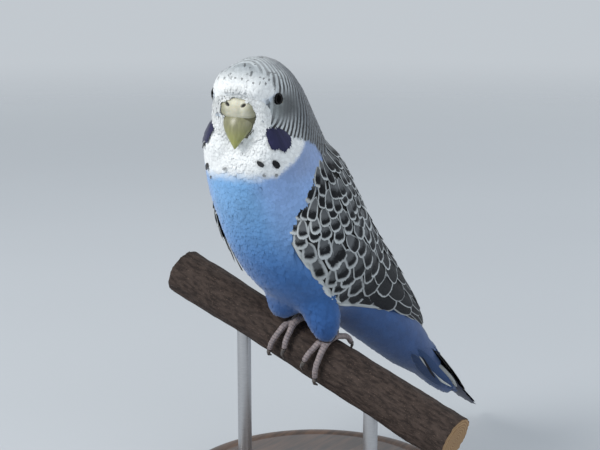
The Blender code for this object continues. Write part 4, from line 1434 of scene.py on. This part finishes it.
def horn_look():
    look = Look(
        "bill_horn", 0.34, 0.45, coat_weight=0.25, coat_roughness=0.3, subsurface_weight=0.12,
        subsurface_radius=(0.001, 0.0008, 0.0004))
    tipward = look.attribute("tipward")
    colour = look.mix(tipward.ramp(0.25, 0.95), (0.205, 0.20, 0.115), (0.33, 0.34, 0.085))
    colour = look.mix(tipward.ramp(0.86, 1.0) * 0.5, colour, (0.16, 0.14, 0.06))
    mottle = look.noise(0.0016, 3.0).ramp(0.35, 0.7)
    colour = look.mix(mottle * 0.35, colour, (0.17, 0.165, 0.085))
    streak = look.noise(0.0007, 3.0, stretch=(1.0, 1.0, 0.2)).ramp(0.45, 0.75)
    look.colour(look.mix(streak * 0.3, colour, (0.42, 0.42, 0.22)))
    look.bump(look.noise(0.0006, 3.0, stretch=(1.0, 1.0, 0.25)), 0.2, 0.0001)
    return look.made


def cere_look():
    look = Look("cere_skin", 0.52, 0.35, subsurface_weight=0.2, subsurface_radius=(0.0012, 0.0008, 0.0005))
    colour = look.mix(look.noise(0.0014, 3.0).ramp(0.3, 0.75), (0.66, 0.64, 0.52), (0.54, 0.52, 0.40))
    # darker sides of the cere: painted shade where it turns away from the light
    colour = look.mix(look.attribute("aside") * 0.75, colour, (0.24, 0.235, 0.14))
    look.colour(look.mix(look.attribute("nostril"), colour, (0.015, 0.012, 0.01)))
    look.bump(look.noise(0.00035, 3.0), 0.3, 0.0001)
    return look.made


def bill_arrays(stations):
    """Vertices and triangles of a half of the bill, smooth along and round it."""
    rows = np.array(stations)
    rows = eased(sampled(np.linspace(0, len(rows) - 1, BILL_RINGS), np.arange(len(rows)), rows), 8)
    angle = np.linspace(0, 2 * math.pi, BILL_SIDES, endpoint=False)[None]
    middle, down = (rows[:, :2] + rows[:, 2:4]) / 2, (rows[:, 2:4] - rows[:, :2]) / 2
    plane = middle[:, None] + down[:, None] * np.cos(angle)[..., None]
    wide = rows[:, 4:5] * np.sin(angle) * (1 + 0.15 * np.cos(angle))
    co = on_head(np.concatenate([plane, wide[..., None] + BILL_ASIDE], -1).reshape(-1, 3))
    tri = ring_faces(BILL_RINGS, BILL_SIDES)
    last = (BILL_RINGS - 1) * BILL_SIDES
    for k in range(1, BILL_SIDES - 1):
        tri += [(0, k + 1, k), (last, last + k, last + k + 1)]
    return co, turned_out(co, np.array(tri))


def swelling(place, halves):
    """Vertices and triangles of an ellipsoid on the head."""
    made = bmesh.new()
    bmesh.ops.create_uvsphere(made, u_segments=32, v_segments=20, radius=1)
    bmesh.ops.triangulate(made, faces=made.faces)
    co = np.array([v.co for v in made.verts])
    tri = np.array([[v.index for v in f.verts] for f in made.faces])
    made.free()
    rows = co[:, [1, 2, 0]] * np.array(halves) + np.array(place)
    rows[:, 2] += BILL_ASIDE
    world = on_head(rows)
    return world, turned_out(world, tri)


def nostrils(head):
    """1 in the nostrils and 0 elsewhere, at places in mm on the head."""
    dark = np.zeros(len(head))
    for sign in (1, -1):
        ahead, up, side = (head - np.array([*NOSTRIL_PLACE, sign * NOSTRIL_SIDE + BILL_ASIDE])).T
        across = (side * sign * 0.8 + up * 0.6) / 0.85
        over = (up * 0.8 - side * sign * 0.6) / 0.5
        apart = np.sqrt(across**2 + over**2 + (ahead / 1.6) ** 2)
        dark = np.maximum(dark, 1 - smooth_share(apart, 0.7, 1.1))
    return dark


def make_bill():
    """Bill and cere. Returns their meshes."""
    horn, pieces = horn_look(), []
    for name, stations in (("bill_upper", UPPER_BILL), ("bill_lower", LOWER_BILL)):
        data = remeshed(f"{name}_horn", *bill_arrays(stations), 0.17, 5)
        above = head_mm(mesh_arrays(data)[0])[:, 1]
        set_attribute(data, "tipward", np.clip((BILL_TOP - above) / BILL_LONG, 0, 1))
        mesh_object(f"{name}_horn", data, horn, "horn", name)
        pieces.append(data)
    co, tri, _ = joined([swelling(*shape) for shape in CERE_SWELLINGS])
    data = remeshed("cere_bare", co, tri, 0.16, 9)
    at, normal = mesh_arrays(data)
    head = head_mm(at)
    dark = nostrils(head)
    set_places(data, at - normal * (dark * NOSTRIL_DEEP * MM)[:, None])
    set_attribute(data, "nostril", dark)
    # the aside attribute darkens the cere's sides as painted shade
    set_attribute(data, "aside", smooth_share(np.abs(head[:, 2]), 2.2, 4.4))
    mesh_object("cere_bare", data, cere_look(), "cere_skin", "cere")
    return pieces + [data]


# Eyes

EYE_RADIUS = 2.05
EYE_SINK = -0.02  # mm further in than the sockets' middles
LID_OPEN = (1.32, 1.36)  # half width and half height of the eye's opening, in mm
LID_THICK = 0.13
LID_RINGS, LID_SIDES = 48, 10


def eye_look():
    look = Look("eye_ball", 0.1, 0.03)
    iris = look.attribute("pupil").ramp(0.95, 1.25) * look.noise(0.0004, 2.0).ramp(0.3, 0.7, 0.4, 1.0)
    look.colour(look.mix(iris, (0.002, 0.0018, 0.0018), (0.005, 0.004, 0.0035)))
    return look.made


def lid_look():
    look = Look("eyelid_skin", 0.6, 0.1)
    mottle = look.noise(0.0005, 2.0).ramp(0.3, 0.7)
    look.colour(look.mix(mottle, (0.006, 0.006, 0.007), (0.018, 0.018, 0.019)))
    look.bump(look.noise(0.00025, 2.0), 0.4, 0.00008)
    return look.made


def make_eyeball(name, centre, outward, look):
    ball = bmesh.new()
    bmesh.ops.create_uvsphere(ball, u_segments=40, v_segments=24, radius=EYE_RADIUS * MM)
    turn = Vector(outward).to_track_quat("Z", "Y").to_matrix().to_4x4()
    bmesh.ops.transform(ball, matrix=Matrix.Translation(centre) @ turn, verts=ball.verts)
    data = bpy.data.meshes.new(f"eyeball_{name}")
    ball.to_mesh(data)
    ball.free()
    data.shade_smooth()
    off = (mesh_arrays(data)[0] - centre) / MM
    depth = off @ outward
    round_axis = np.linalg.norm(off - depth[:, None] * outward, axis=1)
    set_attribute(data, "pupil", np.where(depth > 0, round_axis, 3))
    mesh_object(f"eyeball_{name}", data, look, "dark_eye", f"eye_{name}")


def make_eyelid(name, sign, centre, outward, look):
    """A ring of bare lid on the eyeball."""
    ahead = unit(np.cross(head_way(0, 0, 1), outward) * -sign)
    upward = unit(np.cross(outward, ahead)) * sign
    co = []
    for i in range(LID_RINGS):
        angle = 2 * math.pi * i / LID_RINGS
        radial = ahead * math.cos(angle) * LID_OPEN[0] + upward * math.sin(angle) * LID_OPEN[1]
        deep = math.sqrt(max(EYE_RADIUS**2 - (radial**2).sum(), 0.1)) + 0.02
        middle = centre + (radial + outward * deep) * MM
        thick = LID_THICK * (1 + 0.12 * math.sin(angle * 16)) * MM
        for k in range(LID_SIDES):
            around = 2 * math.pi * k / LID_SIDES
            co.append(middle + (unit(radial) * math.cos(around) * 1.3 + outward * math.sin(around)) * thick)
    faces = ring_faces(LID_RINGS, LID_SIDES, closed=True)
    if sign < 0:
        faces = [(a, c, b) for a, b, c in faces]
    mesh_object(f"eyelid_{name}", array_mesh(f"eyelid_{name}", co, faces), look, "grey_skin")


def make_eyes():
    """Glossy eyeballs, each in a ring of bare lid."""
    eye, lid = eye_look(), lid_look()
    for name, sign in SIDES:
        centre = head_place(*EYE_PLACE, sign * (EYE_SIDE - EYE_SINK))
        outward = np.array(HEAD.to_3x3() @ Vector((sign * 0.93, -0.30, 0.10)).normalized())
        make_eyeball(name, centre, outward, eye)
        make_eyelid(name, sign, centre, outward, lid)


# Feet

PERCH_TILT = math.radians(19)
PERCH_RADIUS = 7.5
PERCH_MIDDLE = (-2.0, -4.8)  # forward, above
PERCH_AXIS = np.array([math.cos(PERCH_TILT), 0, -math.sin(PERCH_TILT)])
PERCH_UP = np.array([math.sin(PERCH_TILT), 0, math.cos(PERCH_TILT)])
SCUTE = 0.85  # mm from scale to scale along a toe
GROOVE = 0.16  # mm deep
TOES = ("front_inner", "front_outer", "rear_inner", "rear_outer")


def copied(name, source, voxel, smooth, look, slot, shape=None):
    """A smooth fine piece in the shape of a CAD node, which it replaces. shape may move its vertices."""
    data = remeshed(name, *node_arrays(source), voxel, smooth)
    if shape is not None:
        set_places(data, shape(*mesh_arrays(data)))
    mesh_object(name, data, look, slot, source)
    return data


def round_perch(points):
    """Way along the perch's axis, angle forward of its top, and distance from its axis, in mm and radians."""
    off = (points - np.array(bird_place(*PERCH_MIDDLE))) / MM
    up, fore = off @ PERCH_UP, off @ np.array([0.0, -1.0, 0.0])
    return off @ PERCH_AXIS, np.arctan2(fore, up), np.hypot(up, fore)


def scaly_look():
    look = Look("foot_scales", 0.5, 0.35, subsurface_weight=0.1, subsurface_radius=(0.001, 0.0006, 0.0004))
    colour = look.mix(look.noise(0.001, 3.0).ramp(0.3, 0.7), (0.30, 0.25, 0.25), (0.20, 0.17, 0.175))
    look.colour(look.mix(look.attribute("groove") * 0.7, colour, (0.07, 0.06, 0.06)))
    look.bump(look.noise(0.0004, 3.0), 0.4, 0.00008)
    return look.made


def claw_look():
    look = Look("claw_horn", 0.3, 0.5)
    look.colour(look.mix(look.noise(0.001, 2.0).ramp(0.3, 0.7), (0.035, 0.03, 0.03), (0.11, 0.095, 0.085)))
    look.bump(look.noise(0.0004, 2.0), 0.2, 0.00005)
    return look.made


def scuted(points):
    """How deep in a groove between scales each place of a foot is, from 0 to 1."""
    _, beta, radius = round_perch(points)
    wave = np.abs(np.sin(math.pi * (beta * 9.0) / SCUTE))
    outer = smooth_share(radius, PERCH_RADIUS + 0.8, PERCH_RADIUS + 1.8)
    return (1 - smooth_share(wave, 0.0, 0.42)) * outer


def grooved(at, normal):
    return at - normal * (scuted(at) * GROOVE * MM)[:, None]


def make_feet():
    """Scaly feet and their claws."""
    scaly, claw = scaly_look(), claw_look()
    for side, _ in SIDES:
        data = copied(f"foot_skin_{side}", f"foot_{side}", 0.17, 3, scaly, "grey_skin", grooved)
        set_attribute(data, "groove", scuted(mesh_arrays(data)[0]))
        for toe in TOES:
            copied(f"claw_horn_{toe}_{side}", f"claw_{toe}_{side}", 0.13, 3, claw, "dark_claw")


# Perch and stand

BARK_INNER, CUT_INNER = 5.5, 6.9  # mm from the perch's axis at which bark starts and a sawn end stops
BASE_RADIUS, BASE_HEIGHT = 45.0, 10.0
BASE_ROUND = 2.3
ROD_RADIUS = 2.2
RODS = (1, 2)


def bark_look():
    look = Look("bark", 0.8, 0.25)
    grain = look.attribute("grain", "Vector")
    streaks = look.noise(1.0, 4.0, grain)
    pale = look.noise(1 / 4.2, 3.0, grain).ramp(0.60, 0.74)
    colour = look.mix(streaks.ramp(0.3, 0.7), (0.020, 0.0135, 0.0115), (0.058, 0.041, 0.034))
    colour = look.mix(pale * 0.6, colour, (0.22, 0.155, 0.12))
    rings = (look.attribute("radius") * 7.5).math("SINE")
    wood = look.mix(rings.ramp(-0.6, 0.8), (0.40, 0.26, 0.14), (0.27, 0.16, 0.08))
    look.colour(look.mix(look.attribute("cut"), colour, wood))
    look.bump(streaks + pale * 0.4, 0.6, 0.0004)
    return look.made


def wood_look():
    look = Look("stained_wood", 0.35, 0.5, coat_weight=0.3, coat_roughness=0.2)
    grain = look.noise(0.012, 6.0, stretch=(6.0, 0.6, 6.0))
    fine = look.noise(0.0015, 3.0, stretch=(4.0, 0.3, 4.0))
    colour = look.mix(grain.ramp(0.3, 0.7), (0.045, 0.024, 0.014), (0.13, 0.07, 0.04))
    look.colour(look.mix(fine.ramp(0.45, 0.7) * 0.5, colour, (0.03, 0.016, 0.01)))
    look.bump(fine, 0.15, 0.0002)
    return look.made


def steel_look():
    look = Look("rod_steel", 0.32, metallic=1.0)
    brushed = look.noise(0.002, 3.0, stretch=(1.0, 1.0, 8.0))
    look.colour(look.mix(brushed, (0.42, 0.42, 0.43), (0.62, 0.62, 0.63)))
    look.bump(brushed, 0.1, 0.00005)
    return look.made


def round_grain(along, beta, along_scale, round_scale):
    """Places for noise that runs along the perch and closes round it."""
    return np.stack([along * along_scale, np.cos(beta) * round_scale, np.sin(beta) * round_scale], 1)


def roughened(at, normal):
    """Bark's own unevenness."""
    along, beta, radius = round_perch(at)
    grain = round_grain(along, beta, 0.12, 2.2)
    rough = hash_noise(grain, 0.35, 11) * 0.28 + hash_noise(grain, 0.9, 12) * 0.22
    return at - normal * (rough * (radius > BARK_INNER) * MM)[:, None]


def make_perch():
    """The cut length of branch: uneven bark, sawn ends."""
    data = copied("perch_bark", "perch", 0.5, 4, bark_look(), "bark", roughened)
    at, normal = mesh_arrays(data)
    along, beta, radius = round_perch(at)
    set_attribute(data, "grain", round_grain(along, beta, 0.35, 7.5))
    set_attribute(data, "cut", smooth_share(np.abs(normal @ PERCH_AXIS), 0.6, 0.85) * (radius < CUT_INNER))
    set_attribute(data, "radius", radius)


def turned(name, profile, centre, sides, look, slot, *replaced):
    """A lathe-turned closed piece from a profile of radius and height in mm."""
    co = []
    for r, z in profile:
        for k in range(sides):
            angle = 2 * math.pi * k / sides
            co.append((centre[0] + r * MM * math.cos(angle), centre[1] + r * MM * math.sin(angle), z * MM))
    tri = ring_faces(len(profile), sides)
    for ring in (0, len(profile) - 1):
        co.append((centre[0], centre[1], profile[ring][1] * MM))
        for k in range(sides):
            a, b = ring * sides + k, ring * sides + (k + 1) % sides
            tri.append((a, b, len(co) - 1) if ring else (b, a, len(co) - 1))
    data = array_mesh(name, co, tri)
    data.set_sharp_from_angle(angle=math.radians(35))
    mesh_object(name, data, look, slot, *replaced)


def make_stand():
    """A turned wooden base, two steel rods and the collars they stand in."""
    steel = steel_look()
    r, h = BASE_RADIUS, BASE_HEIGHT
    profile = [(r - 1.2, 0.0), (r - 0.2, 0.5), (r, 1.4), (r, 4.6)]
    profile += [(r - 0.5, 5.0), (r - 0.9, 5.2), (r - 0.5, 5.5)]
    for angle in np.linspace(0, math.pi / 2, 9):
        across, up = BASE_ROUND * math.cos(angle), BASE_ROUND * math.sin(angle)
        profile.append((r - 2.6 + across, h - BASE_ROUND + up))
    profile += [(r - 5.0, h), (r - 5.6, h - 0.35), (r - 6.4, h - 0.35), (r - 7.0, h)]
    turned("stand_base_turned", profile, (0, 0), 128, wood_look(), "stained_wood", "stand_base")
    collar = [(4.2, h), (4.2, h + 0.8), (3.6, h + 1.4), (3.0, h + 3.0), (ROD_RADIUS + 0.05, h + 3.4)]
    for number in RODS:
        low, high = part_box(f"stand_rod_{number}")
        centre = ((low.x + high.x) / 2, (low.y + high.y) / 2)
        rod = [(ROD_RADIUS, h), (ROD_RADIUS, high.z / MM)]
        turned(f"stand_rod_steel_{number}", rod, centre, 48, steel, "rod_steel", f"stand_rod_{number}")
        turned(f"stand_collar_{number}", collar, centre, 48, steel, "rod_steel")


# Light, floor and camera

LIGHT_AIM = Vector((0.0, 0.02, 0.11))
# Lights: name, place, size in metres, watts and colour
LIGHTS = (
    ("key", (-0.35, -0.85, 0.75), 0.55, 9.0, (1.0, 0.985, 0.96)),
    ("fill", (0.95, -0.35, 0.6), 0.8, 1.7, (0.93, 0.96, 1.0)),
    ("rim", (0.25, 0.95, 0.8), 0.6, 2.5, (0.95, 0.97, 1.0)),
)
SKY_COLOUR, SKY_STRENGTH = (0.87, 0.935, 1.0, 1), 0.62
FLOOR_HALF = 8.0  # metres
CAMERA_PLACE = (0.2201, -0.3125, 0.1730)
CAMERA_AZIMUTH, CAMERA_DOWN = 36, 12  # degrees
CAMERA_LENS = 77.52


def add_object(name, data):
    made = bpy.data.objects.new(name, data)
    bpy.context.scene.collection.objects.link(made)
    return made


def add_light(name, place, size, watts, colour):
    data = bpy.data.lights.new(name, "AREA")
    data.shape = "DISK"
    data.size, data.energy, data.color = size, watts, colour
    light = add_object(name, data)
    light.location = place
    light.rotation_euler = (LIGHT_AIM - Vector(place)).to_track_quat("-Z", "Y").to_euler()


def floor_look():
    """A pale floor that fades into the background with distance from the stand."""
    look = Look("floor", 0.8, 0.2)
    look.colour(look.mix(look.noise(0.4, 2.0), (0.50, 0.525, 0.55), (0.56, 0.585, 0.61)))
    place = look.node("ShaderNodeTexCoord", output="Object")
    apart = look.node("ShaderNodeVectorMath", {0: place}, "Value", operation="LENGTH")
    shaders = {1: Value(look, look.shader.outputs[0]), 2: look.node("ShaderNodeBsdfTransparent")}
    faded = look.node("ShaderNodeMixShader", {0: apart.ramp(0.35, 1.8), **shaders})
    look.tree.links.new(faded.socket, look.tree.nodes["Material Output"].inputs["Surface"])
    return look.made


def make_stage():
    """Pale floor, soft studio light and the camera at the photo's viewing angle."""
    h = FLOOR_HALF
    data = array_mesh("floor", [(-h, -h, 0), (h, -h, 0), (h, h, 0), (-h, h, 0)], [(0, 1, 2), (0, 2, 3)])
    data.materials.append(floor_look())
    add_object("floor", data)
    world = bpy.data.worlds.new("world")
    world.use_nodes = True
    background = world.node_tree.nodes["Background"]
    background.inputs[0].default_value = SKY_COLOUR
    background.inputs[1].default_value = SKY_STRENGTH
    bpy.context.scene.world = world
    for light in LIGHTS:
        add_light(*light)
    bpy.context.scene.view_settings.view_transform = "Standard"
    camera = add_object("camera", bpy.data.cameras.new("camera"))
    camera.data.lens = CAMERA_LENS
    camera.data.sensor_width = 36.0
    camera.data.clip_start = 0.01
    camera.location = CAMERA_PLACE
    camera.rotation_euler = (math.radians(90 - CAMERA_DOWN), 0, math.radians(CAMERA_AZIMUTH))
    bpy.context.scene.camera = camera


def main():
    make_stage()
    plumage, margined = plumage_look(), margined_look()
    skin_data, flesh, owners = make_skin(plumage)
    edges = {sign: wing_edges(f"wing_{name}", sign) for name, sign in SIDES}
    surface = make_coat(plumage, skin_data, flesh, owners, edges)
    make_rim(plumage, [skin_data] + make_bill())
    for name, sign in SIDES:
        make_patch(plumage, surface, name, sign)
    make_spots(plumage, surface)
    for name, sign in SIDES:
        make_wing(margined, surface, f"wing_{name}", sign, edges[sign])
    make_mantle(margined, surface, edges[1])
    make_tail(margined, surface)
    make_eyes()
    make_feet()
    make_perch()
    make_stand()


main()
